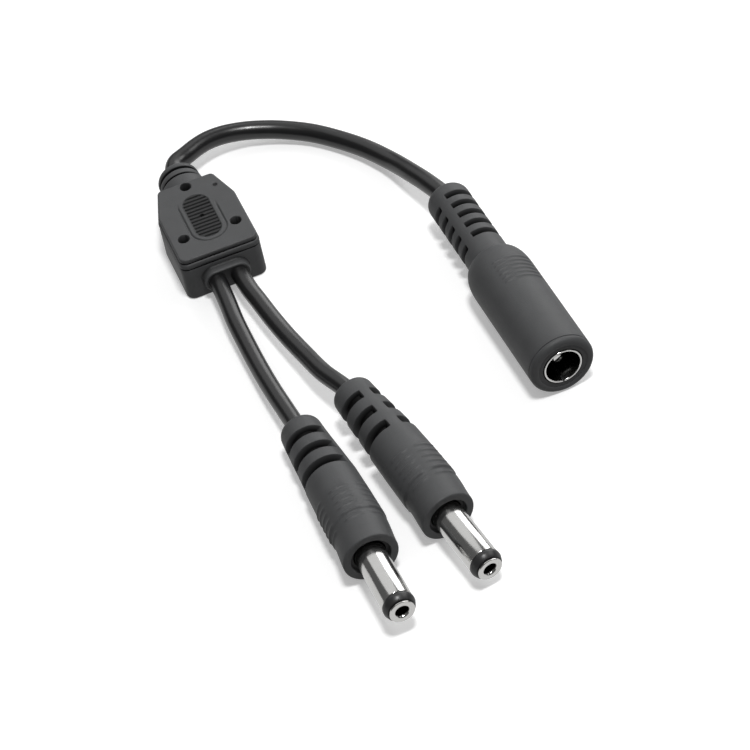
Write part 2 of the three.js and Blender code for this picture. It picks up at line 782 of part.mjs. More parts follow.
// Inner contact: a tube with a broad face around its flared mouth and a solder tail
function plugCenterContact() {
  const faceRear = tipReach - plugContactFaceThickness;
  const tailEnd = -plugContactRearBehind - plugContactTailLength;
  return turned([
    [0, tailEnd],
    [plugContactTailRadius, tailEnd],
    [plugContactTailRadius, -plugContactRearBehind],
    [plugContactOuterRadius, -plugContactRearBehind],
    [plugContactOuterRadius, faceRear],
    [plugContactFaceRadius, faceRear],
    [plugContactFaceRadius, tipReach],
    [plugContactMouthRadius, tipReach],
    [plugContactBoreRadius, tipReach - plugContactMouthDepth],
    [plugContactBoreRadius, -plugContactFloorBehind],
    [0, -plugContactFloorBehind],
  ], contactFacets);
}

// Core from the cord's end to a solder point, both on the connector's own axes
function solderedCore(startY, startZ, endY, endZ) {
  const third = (endZ - startZ) / 3;
  return tube([
    [0, startY, startZ],
    [0, startY, startZ + third],
    [0, endY, endZ - third],
    [0, endY, endZ],
  ], coreDiameter, 6);
}

function barrelPlug(letter) {
  const group = plugs[letter];
  const name = `plug_${letter}`;
  const coreStart = -plugCordEndBehind + pieceGap;
  const tailEnd = -plugContactRearBehind - plugContactTailLength - pieceGap;
  const tabEnd = -barrelFlangeBehind - barrelFlangeThickness - barrelTabLength - pieceGap;
  const tabMiddle = -(barrelDiameter - barrelWall) / 2;
  addPiece(group, `${name}_grip`, plugGrip(plugPoses[letter].web), materials.grip);
  addPiece(group, `${name}_barrel`, plugBarrel(), materials.nickel);
  addPiece(group, `${name}_tip_insulator`, plugTipInsulator(), materials.insulator);
  addPiece(group, `${name}_center_contact`, plugCenterContact(), materials.nickel);
  addPiece(group, `${name}_core_positive`, solderedCore(coreSpacing / 2, coreStart, 0, tailEnd), materials.positive);
  addPiece(group, `${name}_core_negative`, solderedCore(-coreSpacing / 2, coreStart, tabMiddle, tabEnd),
    materials.negative);
  return group;
}

// Barrel socket

const jackChamberRadius = sleeveOuterRadius + contactGap;
const jackRimLine = {
  rear: -jackRimLineBehind - jackRimLineWidth / 2,
  front: -jackRimLineBehind + jackRimLineWidth / 2,
};

// Outside of the socket's grip: relief, rounded shoulder, straight body, rim line and rounded rim
const jackOutline = [
  [jackReliefRadius - jackEndEdge, -jackLength],
  [jackReliefRadius - jackEndRound, -jackLength + jackEndEdgeLength],
  [jackReliefRadius, -jackLength + jackEndRoundLength],
  [jackReliefRadius, -jackShoulderBehind - jackShoulderStepLength],
  ...quarterRound([jackReliefRadius + jackShoulderStep, -jackShoulderBehind],
    [jackRadius, -jackShoulderBehind + jackShoulderLength], 4),
  [jackRadius, jackRimLine.rear],
  [jackRadius - jackRimLineDepth, jackRimLine.rear],
  [jackRadius - jackRimLineDepth, jackRimLine.front],
  ...quarterRound([jackRimRadius, 0], [jackRadius, jackRimLine.front], 2).reverse(),
];

const jack = laid(jackPose, jackLength, jackOutline);

function jackGrip(web) {
  const cordBore = inputCordDiameter / 2 + pieceGap;
  const solid = turned([
    [cordBore, -jackLength],
    ...jackOutline,
    [jackFaceStepRadius, 0],
    [jackFaceStepRadius, -jackFaceStepDepth],
    [jackChamberRadius, -jackFaceStepDepth],
    [jackChamberRadius, -jackChamberDepth],
    [cordBore, -jackChamberDepth],
    [cordBore, -jackLength],
  ], gripFacets);
  return cut(solid, reliefSlots({
    web,
    arc: jackSlotArc,
    width: jackSlotWidth,
    pitch: jackSlotPitch,
    count: jackSlotCount,
    first: jackSlotFirstBehind,
    stagger: jackSlotStagger,
    floorRadius: jackSlotFloorRadius,
    outerRadius: jackReliefRadius,
  }));
}

// Outer contact of the socket: a rolled sleeve with its seam open at the mouth and a solder tab behind
function jackSleeve() {
  const sleeve = turned([
    [sleeveBoreRadius, -sleeveLength],
    [sleeveOuterRadius, -sleeveLength],
    [sleeveOuterRadius, 0],
    [sleeveBoreRadius, 0],
    [sleeveBoreRadius, -sleeveLength],
  ], gripFacets);
  const half = sleeveTabWidth / 2;
  const tab = box([-half, -sleeveOuterRadius, -sleeveLength - sleeveTabLength],
    [half, -sleeveBoreRadius, -sleeveLength + joinOverlap]);
  const slit = box([-sleeveSlitWidth / 2, 0, -sleeveSlitLength], [sleeveSlitWidth / 2, jackRadius, cutOvershoot])
    .rotate([0, 0, -sleeveSlitAngle]);
  return cut(sleeve.add(tab), [slit]);
}

const carrierRear = -carrierFrontBehind - carrierLength;

function jackCarrier() {
  const outer = sleeveBoreRadius - contactGap;
  const bore = pinDiameter / 2 + contactGap;
  return turned([
    [bore, carrierRear],
    [outer, carrierRear],
    [outer, -carrierFrontBehind],
    [bore, -carrierFrontBehind],
    [bore, carrierRear],
  ], contactFacets);
}

const pinFlangeRear = carrierRear - contactGap - pinFlangeThickness;

function jackPin() {
  const radius = pinDiameter / 2;
  const tip = -pinTipBehind;
  const pin = turned([
    [0, pinFlangeRear - pinTailLength],
    [pinTailRadius, pinFlangeRear - pinTailLength],
    [pinTailRadius, pinFlangeRear],
    [pinFlangeRadius, pinFlangeRear],
    [pinFlangeRadius, carrierRear - contactGap],
    [radius, carrierRear - contactGap],
    [radius, tip - pinTipChamfer],
    [radius - pinTipChamfer, tip],
    [0, tip],
  ], contactFacets);
  const half = pinSplitWidth / 2;
  const split = box([-half, -radius - cutOvershoot, tip - pinSplitLength],
    [half, radius + cutOvershoot, tip + cutOvershoot]).rotate([0, 0, -pinSplitAngle]);
  return cut(pin, [split]);
}

function barrelSocket() {
  const group = jack;
  const coreStart = -jackCordEndBehind + pieceGap;
  const tailEnd = pinFlangeRear - pinTailLength - pieceGap;
  const tabEnd = -sleeveLength - sleeveTabLength - pieceGap;
  const tabCoreY = -(jackChamberRadius - pieceGap - coreDiameter / 2);
  addPiece(group, 'jack_grip', jackGrip(jackPose.web), materials.grip);
  addPiece(group, 'jack_sleeve', jackSleeve(), materials.nickel);
  addPiece(group, 'jack_carrier', jackCarrier(), materials.insulator);
  addPiece(group, 'jack_pin', jackPin(), materials.nickel);
  addPiece(group, 'jack_core_positive', solderedCore(coreSpacing / 2, coreStart, 0, tailEnd), materials.positive);
  addPiece(group, 'jack_core_negative', solderedCore(-coreSpacing / 2, coreStart, tabCoreY, tabEnd),
    materials.negative);
  return group;
}

// Cords: each starts against the block's inner moulding and ends against the cores in its connector

function cordLength(points) {
  return new THREE.CatmullRomCurve3(points.map((p) => new THREE.Vector3(...p)), false, 'centripetal').getLength();
}

// The input cord turns sharply as it leaves the block, so its steps are as short as its diameter
function inputCord() {
  const points = [
    [0, chamberEndY, reliefHeight],
    [0, (chamberEndY + inputCordRoute[0][1]) / 2, reliefHeight],
    ...inputCordRoute,
    behindFront(jack, jackLength),
    behindFront(jack, (jackLength + jackCordEndBehind) / 2),
    behindFront(jack, jackCordEndBehind),
  ];
  return tube(points, inputCordDiameter, Math.round(cordLength(points) / inputCordDiameter));
}

function outputCord(letter) {
  const x = (letter === 'a' ? -outputCordSpacing : outputCordSpacing) / 2;
  const points = [
    [x, -chamberEndY, outputCordHeight],
    [x, bossFrontY, outputCordHeight],
    ...outputCordRoutes[letter],
    behindFront(plugs[letter], plugLength),
    behindFront(plugs[letter], (plugLength + plugCordEndBehind) / 2),
    behindFront(plugs[letter], plugCordEndBehind),
  ];
  return tube(points, outputCordDiameter, Math.round(cordLength(points) / (1.5 * outputCordDiameter)));
}

function cords() {
  const group = new THREE.Group();
  addPiece(group, 'input_cord', inputCord(), materials.cord);
  addPiece(group, 'output_cord_a', outputCord('a'), materials.cord);
  addPiece(group, 'output_cord_b', outputCord('b'), materials.cord);
  return group;
}

const group = new THREE.Group();
group.add(splitterBlock(), barrelPlug('a'), barrelPlug('b'), barrelSocket(), cords());

export default group;
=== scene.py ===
"""Looks of a low-voltage power splitter cable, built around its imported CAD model.

One barrel socket feeds a moulded splitter block, which feeds two barrel plugs. Shapes are worked out in
millimetres with numpy, in the frame of the CAD model, and are put into meshes in metres.
"""
import json
import math

import bpy
import numpy as np
from mathutils import Matrix, Vector


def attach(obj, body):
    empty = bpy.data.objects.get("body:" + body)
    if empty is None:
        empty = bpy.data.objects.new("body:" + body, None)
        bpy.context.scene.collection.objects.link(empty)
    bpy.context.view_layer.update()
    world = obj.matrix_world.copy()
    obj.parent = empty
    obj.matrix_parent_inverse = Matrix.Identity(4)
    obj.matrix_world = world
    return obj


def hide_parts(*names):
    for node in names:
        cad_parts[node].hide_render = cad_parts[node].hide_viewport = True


bl_info = {
    "name": "Power Splitter Cable",
    "version": (1, 0, 0),
    "blender": (4, 5, 0),
    "location": "View3D > Sidebar > Splitter Cable",
    "description": "Builds a barrel socket, a moulded splitter block, two barrel plugs and their cords",
    "category": "Add Mesh",
}

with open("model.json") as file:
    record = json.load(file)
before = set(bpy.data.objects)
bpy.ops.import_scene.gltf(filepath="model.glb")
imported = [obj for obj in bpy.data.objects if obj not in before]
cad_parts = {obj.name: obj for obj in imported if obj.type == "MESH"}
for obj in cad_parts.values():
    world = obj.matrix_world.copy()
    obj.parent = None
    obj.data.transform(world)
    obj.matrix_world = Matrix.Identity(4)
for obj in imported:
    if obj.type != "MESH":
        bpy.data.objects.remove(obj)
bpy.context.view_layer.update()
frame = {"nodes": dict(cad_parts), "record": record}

MM = 0.001

# Block: rounded corners of its right side in plan as (x, y, radius), from the output end to the input end
BLOCK_CORNERS = ((7.9, -10.8, 1.7), (7.9, 3.4, 3.0), (5.7, 10.8, 1.3))
BLOCK_TOP = 9.6
BLOCK_WALL = 0.26
BOSS_FRONT = -12.6
OUTPUT_CORD_X = 2.15
OUTPUT_CORD_Z = 4.0
INPUT_CORD_Z = 4.8
RELIEF_END_Y = 18.0

# Ends of the cords inside the block, and behind the front faces of the plugs and the socket
CORD_START_Y = 6.9
PLUG_CORD_END = 17.0
JACK_CORD_END = 28.0

PLUG_LENGTH = 34.0
JACK_LENGTH = 50.6

INPUT_CORD_ROUTE = (
    (0.0, 17.0, 4.8), (0.05, 19.2, 4.8), (0.4, 20.9, 4.8), (1.3, 22.2, 4.8), (2.4, 22.9, 4.7),
    (3.5, 23.4, 4.7), (5.9, 24.7, 4.6), (8.7, 25.8, 4.4), (12.3, 26.4, 3.9), (16.5, 26.0, 3.3),
    (20.1, 24.8, 2.9), (23.0, 23.4, 2.6), (27.8, 20.1, 2.2), (31.8, 15.7, 2.1), (35.6, 10.0, 2.3),
    (38.6, 3.4, 2.8), (40.4, -3.8, 4.4), (41.65, -9.1, 5.4),
)
OUTPUT_CORD_ROUTES = {
    "a": ((-2.3, -17.9, 3.8), (-2.65, -23.9, 3.6), (-2.65, -29.9, 3.2), (-2.6, -35.2, 3.1),
          (-2.5, -40.3, 3.3), (-2.3, -45.4, 3.7), (-2.0, -50.1, 4.0)),
    "b": ((2.45, -17.4, 3.8), (2.95, -21.3, 3.8), (3.6, -26.6, 3.8), (4.5, -32.5, 3.9),
          (5.6, -39.0, 4.5), (6.75, -45.8, 5.5)),
}

# How each connector lies: front face's centre, heading from +X, tilt of its tip, and the direction of the web
# between its relief slots, clockwise from up as seen from behind
CONNECTORS = {
    "plug_a": {"front": (-0.933, -89.92, 5.367), "heading": -88.69, "tilt": 1.47, "web": 64.0},
    "plug_b": {"front": (13.884, -87.418, 4.954), "heading": -81.87, "tilt": -2.45, "web": 14.0},
    "jack": {"front": (44.396, -65.897, 6.11), "heading": -88.26, "tilt": 0.0, "web": -33.5},
}

# Finger pad on the block's top face, and how far beyond its outline the painted dark shade reaches
PAD_HALF_WIDTH = 2.5
PAD_HALF_LENGTH = 6.2
PAD_MIDDLE_Y = -0.15
PAD_SHADE_MARGIN = 0.05

# How far the middle of a plug's grip swells sideways
PLUG_SWELL = 0.45

# Depth of the slots' floors, as a radius in the grips
PLUG_SLOT_FLOOR = 2.75
JACK_SLOT_FLOOR = 2.8

# Camera fitted to the photograph: its right, up and back directions, and its place in metres
CAMERA_AXES = ((0.92361, -0.35471, -0.14530), (0.35095, 0.63012, 0.69266), (-0.15414, -0.69074, 0.70648))
CAMERA_PLACE = (-0.06119, -0.39099, 0.35324)
CAMERA_SENSOR = 36.0
CAMERA_LENS = 134.68

# Round soft lamps in metres: name, place, diameter and the setting that holds the power
LAMP_TARGET = (0.02, -0.04, 0)
LAMPS = (
    ("key_lamp", (0.59, 0.56, 0.38), 0.66, "key_power"),
    ("side_lamp", (0.8, 0.0, 0.66), 0.5, "side_power"),
    ("overhead_lamp", (0.08, -0.25, 1.0), 0.2, "overhead_power"),
    ("back_lamp", (-0.05, 0.62, 0.7), 1.0, "back_power"),
)
FLOOR_HALF = 3.0

# Angles that the fine grip ribs cover on each connector, clockwise from up
RIB_PATCHES = {
    "plug_a": ((-100, -52), (-25, 14), (30, 62), (197, 242)),
    "plug_b": ((-45, -8), (12, 60), (135, 172), (192, 240)),
    "jack": ((-17, 55), (197, 235)),
}


# Grids of points and the meshes made from them

def filled(lines, spacing):
    """Sorted lines of a grid: the given ones, and evenly spaced ones where two lie further apart than spacing."""
    lines = np.unique(np.round(np.asarray(lines, float), 5))
    parts = [np.linspace(a, b, max(1, math.ceil((b - a) / spacing)) + 1)[:-1] for a, b in zip(lines, lines[1:])]
    return np.concatenate([*parts, lines[-1:]])


def grid_quads(rows, columns, close_rows=False, close_columns=False):
    """Quads between neighbouring points of a rows by columns grid, joined round in either direction if asked."""
    i, j = np.meshgrid(np.arange(rows if close_rows else rows - 1),
                       np.arange(columns if close_columns else columns - 1), indexing="ij")
    k, m = (i + 1) % rows, (j + 1) % columns
    return np.stack([i * columns + j, i * columns + m, k * columns + m, k * columns + j], -1).reshape(-1, 4)


def signed_volume(points, faces):
    """Volume inside closed faces, negative if they point inwards: the sum of the tetrahedra from the origin."""
    total = 0.0
    for face in faces:
        corners = points[np.atleast_2d(face)]
        cross = np.cross(corners[:, 1:-1], corners[:, 2:])
        total += float((corners[:, :1] * cross.sum(1, keepdims=True)).sum()) / 6
    return total


def joined(shells):
    """One (points, face lists) out of several closed shells, each turned to point outwards."""
    points, faces, start = [], [], 0
    for shell_points, shell_faces in shells:
        turn = -1 if signed_volume(shell_points, shell_faces) < 0 else 1
        points.append(shell_points)
        faces += [np.atleast_2d(f)[:, ::turn] + start for f in shell_faces]
        start += len(shell_points)
    return np.concatenate(points), faces


def new_piece(name, shells, slot, replaced=(), surface=None, cavity=None, sharp=40.0):
    """Mesh object from closed shells in millimetres. Each shell is (points, list of face arrays): an array with
    rows holds one face a row, and a flat array holds a single many-sided face. surface gives (u, v), and the
    array after it gives how much painted shade darkens each point, from 0 to 1, mostly inside openings."""
    points, faces = joined(shells)
    mesh = bpy.data.meshes.new(name)
    mesh.from_pydata((points * MM).tolist(), [], [corners for f in faces for corners in f.tolist()])
    if surface is not None:
        corner_points = np.zeros(len(mesh.loops), np.int32)
        mesh.loops.foreach_get("vertex_index", corner_points)
        layer = mesh.uv_layers.new(name="along")
        layer.data.foreach_set("uv", surface[corner_points].astype(np.float32).ravel())
    if cavity is not None:
        mesh.attributes.new("cavity", "FLOAT", "POINT").data.foreach_set("value", cavity.astype(np.float32))
    mesh.validate()
    mesh.shade_smooth()
    mesh.set_sharp_from_angle(angle=math.radians(sharp))
    mesh.materials.append(material_of(slot))
    piece = shown(name, mesh)
    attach(piece, "root")
    if replaced:
        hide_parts(*replaced)
    return piece


def shown(name, data):
    """New object in the scene."""
    made = bpy.data.objects.new(name, data)
    bpy.context.scene.collection.objects.link(made)
    return made


# Shapes

def turned_grid(profile, angles):
    """Points of a profile of (radius, z) carried round the z axis: x = r sin(angle), y = r cos(angle)."""
    r, z = np.asarray(profile, float).T[:, :, None]
    angle = np.radians(angles)[None, :]
    return np.stack([r * np.sin(angle), r * np.cos(angle), np.broadcast_to(z, (len(r), angle.size))], -1)


def end_faces(rows, columns):
    """Flat many-sided faces that close the first and the last ring of a rows by columns grid."""
    return [np.arange(columns)[::-1], (rows - 1) * columns + np.arange(columns)]


def turned(profile, sides):
    """Closed ring shell from a closed (radius, z) loop carried once round the z axis."""
    points = turned_grid(profile, np.arange(sides) * 360 / sides)
    return points.reshape(-1, 3), [grid_quads(len(profile), sides, True, True)]


def turned_solid(profile, sides):
    """Closed shell from a (radius, z) line whose two ends are closed with flat discs."""
    points = turned_grid(profile, np.arange(sides) * 360 / sides)
    return points.reshape(-1, 3), [grid_quads(len(profile), sides, False, True), *end_faces(len(profile), sides)]


def quarter(start, end, steps):
    """Quarter ellipse between two points: the first coordinate goes as a sine, the second as one minus a cosine."""
    t = np.linspace(0, math.pi / 2, steps + 1)[:, None]
    start, end = np.asarray(start, float), np.asarray(end, float)
    return start + (end - start) * np.hstack([np.sin(t), 1 - np.cos(t)])


def sunk(inside, depth, rim, wall):
    """How far a surface drops at a distance inside an opening's outline: a quarter circle of radius rim ends at the
    outline, and a straight wall goes on from it to the depth."""
    lip = np.clip(inside + rim, 0, rim)
    return rim - np.sqrt(np.maximum(rim * rim - lip * lip, 0)) + (depth - rim) * np.clip(inside / wall, 0, 1)


def box_distance(across, along, half_across, half_along, corner):
    """Signed distance to a rectangle with round corners, negative inside."""
    x, y = np.abs(across) - half_across + corner, np.abs(along) - half_along + corner
    return np.hypot(np.maximum(x, 0), np.maximum(y, 0)) + np.minimum(np.maximum(x, y), 0) - corner


def smooth_step(x):
    """0 below 0, 1 above 1, and 3x^2 - 2x^3 between them."""
    x = np.clip(x, 0, 1)
    return x * x * (3 - 2 * x)


def turn_difference(angle, middle):
    """Smallest turn from middle to angle, in degrees."""
    return (angle - middle + 180) % 360 - 180


def connector_axes(name):
    """Rows of a connector's own x, y and z directions: z is its axis, x is level and y points up."""
    pose = CONNECTORS[name]
    heading, tilt = math.radians(pose["heading"]), math.radians(pose["tilt"])
    axis = np.array([math.cos(heading) * math.cos(tilt), math.sin(heading) * math.cos(tilt), math.sin(tilt)])
    side = np.array([-math.sin(heading), math.cos(heading), 0.0])
    return np.array([side, np.cross(axis, side), axis])


def laid(name, shell):
    """A shell of a connector moved from its own axes to where the connector lies."""
    points, faces = shell
    return points @ connector_axes(name) + np.array(CONNECTORS[name]["front"]), faces


def own_place(name, points):
    """Points in a connector's own axes, measured from its front face."""
    return (points - np.array(CONNECTORS[name]["front"])) @ connector_axes(name).T


def behind(name, distance):
    """Point on a connector's axis, a distance behind its front face."""
    return np.array(CONNECTORS[name]["front"]) - distance * connector_axes(name)[2]


# Connector grips: a radius that depends on the distance behind the front face and on the angle

def slot_list(web, arc, width, pitch, count, first, stagger):
    """(middle angle, half arc, middle distance, half width) of the relief slots on both sides of the web."""
    return [(web + side, arc / 2, first + i * pitch - shift, width / 2)
            for side, shift in ((90, 0), (-90, stagger)) for i in range(count)]


def grip_shell(outline, slots, slot_floor, ribs, inner, columns, spacing=0.5):
    """Closed shell of a moulded grip. The radius follows the outline, given as (distance behind the front, radius).
    Slots sink to slot_floor with rounded rims, and ribs rise from it by height times (1 - x^2)^2 across each rib.
    The rows and columns of the grid lie on the slots' edges. inner is the (radius, z) line inside the grip."""
    rim, wall, corner = 0.14, 0.05, 0.35
    edge = np.array([-0.14, -0.11, -0.06, -0.02, 0.0, 0.05])
    middle_radius = outline[:, 1].mean()
    lines = [outline[:, 0]]
    turns = []
    for middle, half_arc, at, half in slots:
        lines += [at - half + edge, at + half - edge]
        for sign in (-1, 1):
            turns.append(middle + sign * (half_arc - np.degrees(edge / middle_radius)))
    centres = np.linspace(*ribs["span"], ribs["count"])
    half_rib = ribs["width"] / 2
    lines.append((centres[:, None] + np.linspace(-1, 1, 9) * half_rib).ravel())
    distance = filled(np.concatenate(lines), spacing)
    distance = distance[(distance >= outline[0, 0]) & (distance <= outline[-1, 0])]
    angles = filled(np.concatenate([np.concatenate(turns) % 360, [0, 360]]), 360 / columns)[:-1]
    b, angle = np.meshgrid(distance, angles, indexing="ij")
    radius = np.interp(b, outline[:, 0], outline[:, 1])
    x = np.clip((b[..., None] - centres) / half_rib, -1, 1)
    rib = ((1 - x * x) ** 2).sum(-1)
    mask = np.zeros_like(b)
    for low, high in ribs["patches"]:
        off = np.abs(turn_difference(angle, (low + high) / 2)) - (high - low) / 2
        mask = np.maximum(mask, 1 - smooth_step(off / 3 + 0.5))
    radius = radius + ribs["height"] * rib * mask
    drop = np.zeros_like(b)
    for middle, half_arc, at, half in slots:
        round_way = np.radians(turn_difference(angle, middle)) * middle_radius
        inside = -box_distance(round_way, b - at, math.radians(half_arc) * middle_radius, half, corner)
        drop = np.maximum(drop, sunk(inside, radius - slot_floor, rim, wall))
    radius = radius - drop
    turn = np.radians(angle)
    outer = np.stack([radius * np.sin(turn), radius * np.cos(turn), -b], -1)
    hole = turned_grid(inner, angles)
    whole = np.concatenate([outer, hole])
    # Painted shade: the slots darken as they deepen, and the bore darkens within 0.8 mm of its mouth and stays dark to
    # 30 mm in.
    inside = np.clip(-hole[..., 2] / 0.8, 0, 1) * (hole[..., 2] > -30)
    cavity = np.concatenate([smooth_step(drop / (radius + drop - slot_floor) * 1.6 - 0.3), inside])
    return (whole.reshape(-1, 3), [grid_quads(len(whole), len(angles), True, True)]), cavity.ravel()


def plug_outline():
    """Outside of a plug's grip: rounded front edge, short collar, slightly bellied body and tapered relief."""
    front = quarter((4.67, 0), (4.97, 0.3), 4)[:, ::-1]
    collar = [(6.45, 4.97), (6.6, 5.0), (6.75, 5.1), (6.9, 5.15), (7.3, 5.16)]
    body = [(13.2, 5.03), (19.4, 4.8), (21.4, 4.6), (32.6, 3.82)]
    rear = quarter((3.1, 34.0), (3.82, 32.8), 5)[::-1, ::-1]
    return np.array([*front, *collar, *body, *rear])


def jack_outline():
    """Outside of the socket's grip: rounded rim, rim line, straight body, broad shoulder and relief."""
    rim = quarter((5.2, 0), (6.08, 0.93), 7)[:, ::-1]
    line = [(0.97, 6.07), (1.0, 6.0), (1.05, 5.93), (1.15, 5.93), (1.2, 6.0), (1.24, 6.08), (1.35, 6.1)]
    shoulder = quarter((4.75, 29.3), (6.1, 24.6), 10)[::-1, ::-1]
    step = [(29.45, 4.5), (29.65, 4.28), (30.0, 4.18), (30.5, 4.15)]
    rear = quarter((3.3, JACK_LENGTH), (4.15, 49.2), 5)[::-1, ::-1]
    return np.array([*rim, *line, *shoulder, *step, *rear])


def plug_grip(name):
    """Grip of one plug, with its seat for the barrel, chamber and cord bore inside. Its middle swells sideways: the
    axis moves over by PLUG_SWELL behind the front and comes most of the way back along the relief."""
    inner = [(2.0, -34.0), (2.0, -15.5), (3.4, -15.5), (3.4, -4.8), (3.8, -4.8), (3.8, -3.0), (2.95, -3.0),
             (2.95, -0.8), (3.5, -0.8), (3.6, -0.7), (3.6, -0.08), (3.68, 0.0)]
    slots = slot_list(CONNECTORS[name]["web"], 152, 2.0, 4.45, 3, 20.35, 0)
    ribs = {"span": (5.6, 12.9), "count": 6, "width": 0.8, "height": 0.17, "patches": RIB_PATCHES[name]}
    (points, faces), cavity = grip_shell(plug_outline(), slots, PLUG_SLOT_FLOOR, ribs, inner, 96)
    back = -points[:, 2]
    points[:, 0] += PLUG_SWELL * smooth_step(back / 6) * (1 - 0.6 * smooth_step((back - 20) / 12))
    return laid(name, (points, faces)), cavity


def jack_grip():
    """Grip of the socket, with the bore for its sleeve and chamber inside."""
    inner = [(2.15, -JACK_LENGTH), (2.15, -26.0), (3.8, -26.0), (3.8, -0.15), (4.6, -0.15), (4.65, -0.1),
             (4.65, -0.04), (4.7, 0.0)]
    slots = slot_list(CONNECTORS["jack"]["web"], 153, 1.35, 2.97, 5, 35.0, 1.35)
    ribs = {"span": (18.6, 24.2), "count": 6, "width": 0.75, "height": 0.16, "patches": RIB_PATCHES["jack"]}
    shell, cavity = grip_shell(jack_outline(), slots, JACK_SLOT_FLOOR, ribs, inner, 120)
    return laid("jack", shell), cavity


def barrel(name):
    """Outer contact of a plug: a bright sleeve with a slightly rounded lip."""
    lip = quarter((2.6, 11.5), (2.75, 11.3), 3)[::-1]
    loop = [(2.4, -4.5), (3.5, -4.5), (3.5, -3.3), (2.75, -3.3), (2.75, 2), (2.75, 6), *lip, (2.4, 11.5)]
    return laid(name, turned(loop, 96))


def tip_insulator(name):
    """Black insulator of a plug: a stem inside the barrel and a chamfered head in front of it."""
    head = [(2.7, 11.62), (2.82, 11.7), (2.84, 11.8), (2.84, 12.25), (2.79, 12.4), (2.52, 13.08), (2.44, 13.15)]
    loop = [(1.55, -3.3), (2.2, -3.3), (2.2, 11.62), *head, (1.55, 13.15)]
    return laid(name, turned(loop, 96))


def center_contact(name):
    """Inner contact of a plug: a broad bright face around a flared mouth, and a long bore."""
    face = [(2.2, 13.35), (2.25, 13.4), (2.25, 13.52), (2.18, 13.6), (1.42, 13.6), (1.3, 13.55), (1.2, 13.4)]
    loop = [(0.001, -9.0), (0.6, -9.0), (0.6, -6.5), (1.35, -6.5), (1.35, 13.35), *face, (1.05, 13.0), (1.05, -5.5),
            (0.001, -5.5)]
    return laid(name, turned(loop, 72))


def sleeve():
    """Outer contact of the socket: a thin rolled sleeve, open along one seam, closed with faces at the seam."""
    lip = quarter((3.5, 0.0), (3.6, -0.1), 3)[::-1]
    loop = np.array([(3.25, -11.5), (3.6, -11.5), *lip, (3.35, 0.0), (3.28, -0.04), (3.25, -0.1)])
    half_gap = math.degrees(0.175 / 3.4)
    angles = 185 + np.linspace(half_gap, 360 - half_gap, 97)
    points = turned_grid(loop, angles)
    columns = len(angles)
    first = np.arange(len(loop)) * columns
    caps = [first[::-1], first + columns - 1]
    return laid("jack", (points.reshape(-1, 3), [grid_quads(len(loop), columns, True, False), *caps]))


def half_pin(side):
    """One leg of the socket's split pin: a D section, a circle cut by a chord 0.2 mm off its middle, drawn in
    to a rounded tip."""
    radius, off, tip = 1.05, 0.2, -2.2
    opening = math.asin(off / radius)
    arc = np.linspace(opening, math.pi - opening, 21)
    levels = [(-8.2, 1.0), (-2.75, 1.0)]
    levels += [(tip - 0.55 + 0.55 * math.sin(t), math.cos(t) * 0.45 + 0.55) for t in np.linspace(0.2, math.pi / 2, 6)]
    rings = []
    for z, share in levels:
        x, y = radius * share * np.cos(arc), np.maximum(radius * share * np.sin(arc), off)
        rings.append(np.stack([x, y * side, np.full_like(x, z)], -1))
    points = np.concatenate(rings)
    turn = math.radians(28)
    spin = np.array([[math.cos(turn), math.sin(turn), 0], [-math.sin(turn), math.cos(turn), 0], [0, 0, 1]])
    count = len(arc)
    faces = [grid_quads(len(rings), count, False, True), *end_faces(len(rings), count)]
    return laid("jack", (points @ spin, faces))


def pin_shells():
    """Split pin of the socket: two legs on a round root with a flange and a solder tail."""
    root = [(0.6, -16.7), (0.6, -14.9), (1.6, -14.9), (1.6, -14.0), (1.05, -14.0), (1.05, -8.0)]
    return [half_pin(1), half_pin(-1), laid("jack", turned_solid(root, 48))]


# Cords

def smooth_line(points, spacing):
    """Evenly spaced points on the centripetal Catmull-Rom line through points: on each stretch a cubic whose end
    slopes come from the neighbours, weighted by the square roots of the distances between them."""
    points = np.asarray(points, float)
    points = np.vstack([2 * points[0] - points[1], points, 2 * points[-1] - points[-2]])
    root = np.sqrt(np.linalg.norm(np.diff(points, axis=0), axis=1))[:, None]
    p0, p1, p2, p3 = points[:-3], points[1:-2], points[2:-1], points[3:]
    d0, d1, d2 = root[:-2], root[1:-1], root[2:]
    slope1 = ((p1 - p0) / d0 - (p2 - p0) / (d0 + d1) + (p2 - p1) / d1) * d1
    slope2 = ((p2 - p1) / d1 - (p3 - p1) / (d1 + d2) + (p3 - p2) / d2) * d1
    t = np.linspace(0, 1, 40, endpoint=False)[None, :, None]
    p1, p2, slope1, slope2 = (v[:, None, :] for v in (p1, p2, slope1, slope2))
    fine = (p1 + slope1 * t + (3 * p2 - 3 * p1 - 2 * slope1 - slope2) * t ** 2
            + (2 * p1 - 2 * p2 + slope1 + slope2) * t ** 3).reshape(-1, 3)
    fine = np.vstack([fine, points[-2]])
    along = np.concatenate([[0], np.cumsum(np.linalg.norm(np.diff(fine, axis=0), axis=1))])
    at = np.linspace(0, along[-1], round(along[-1] / spacing) + 1)
    return np.stack([np.interp(at, along, fine[:, k]) for k in range(3)], -1)


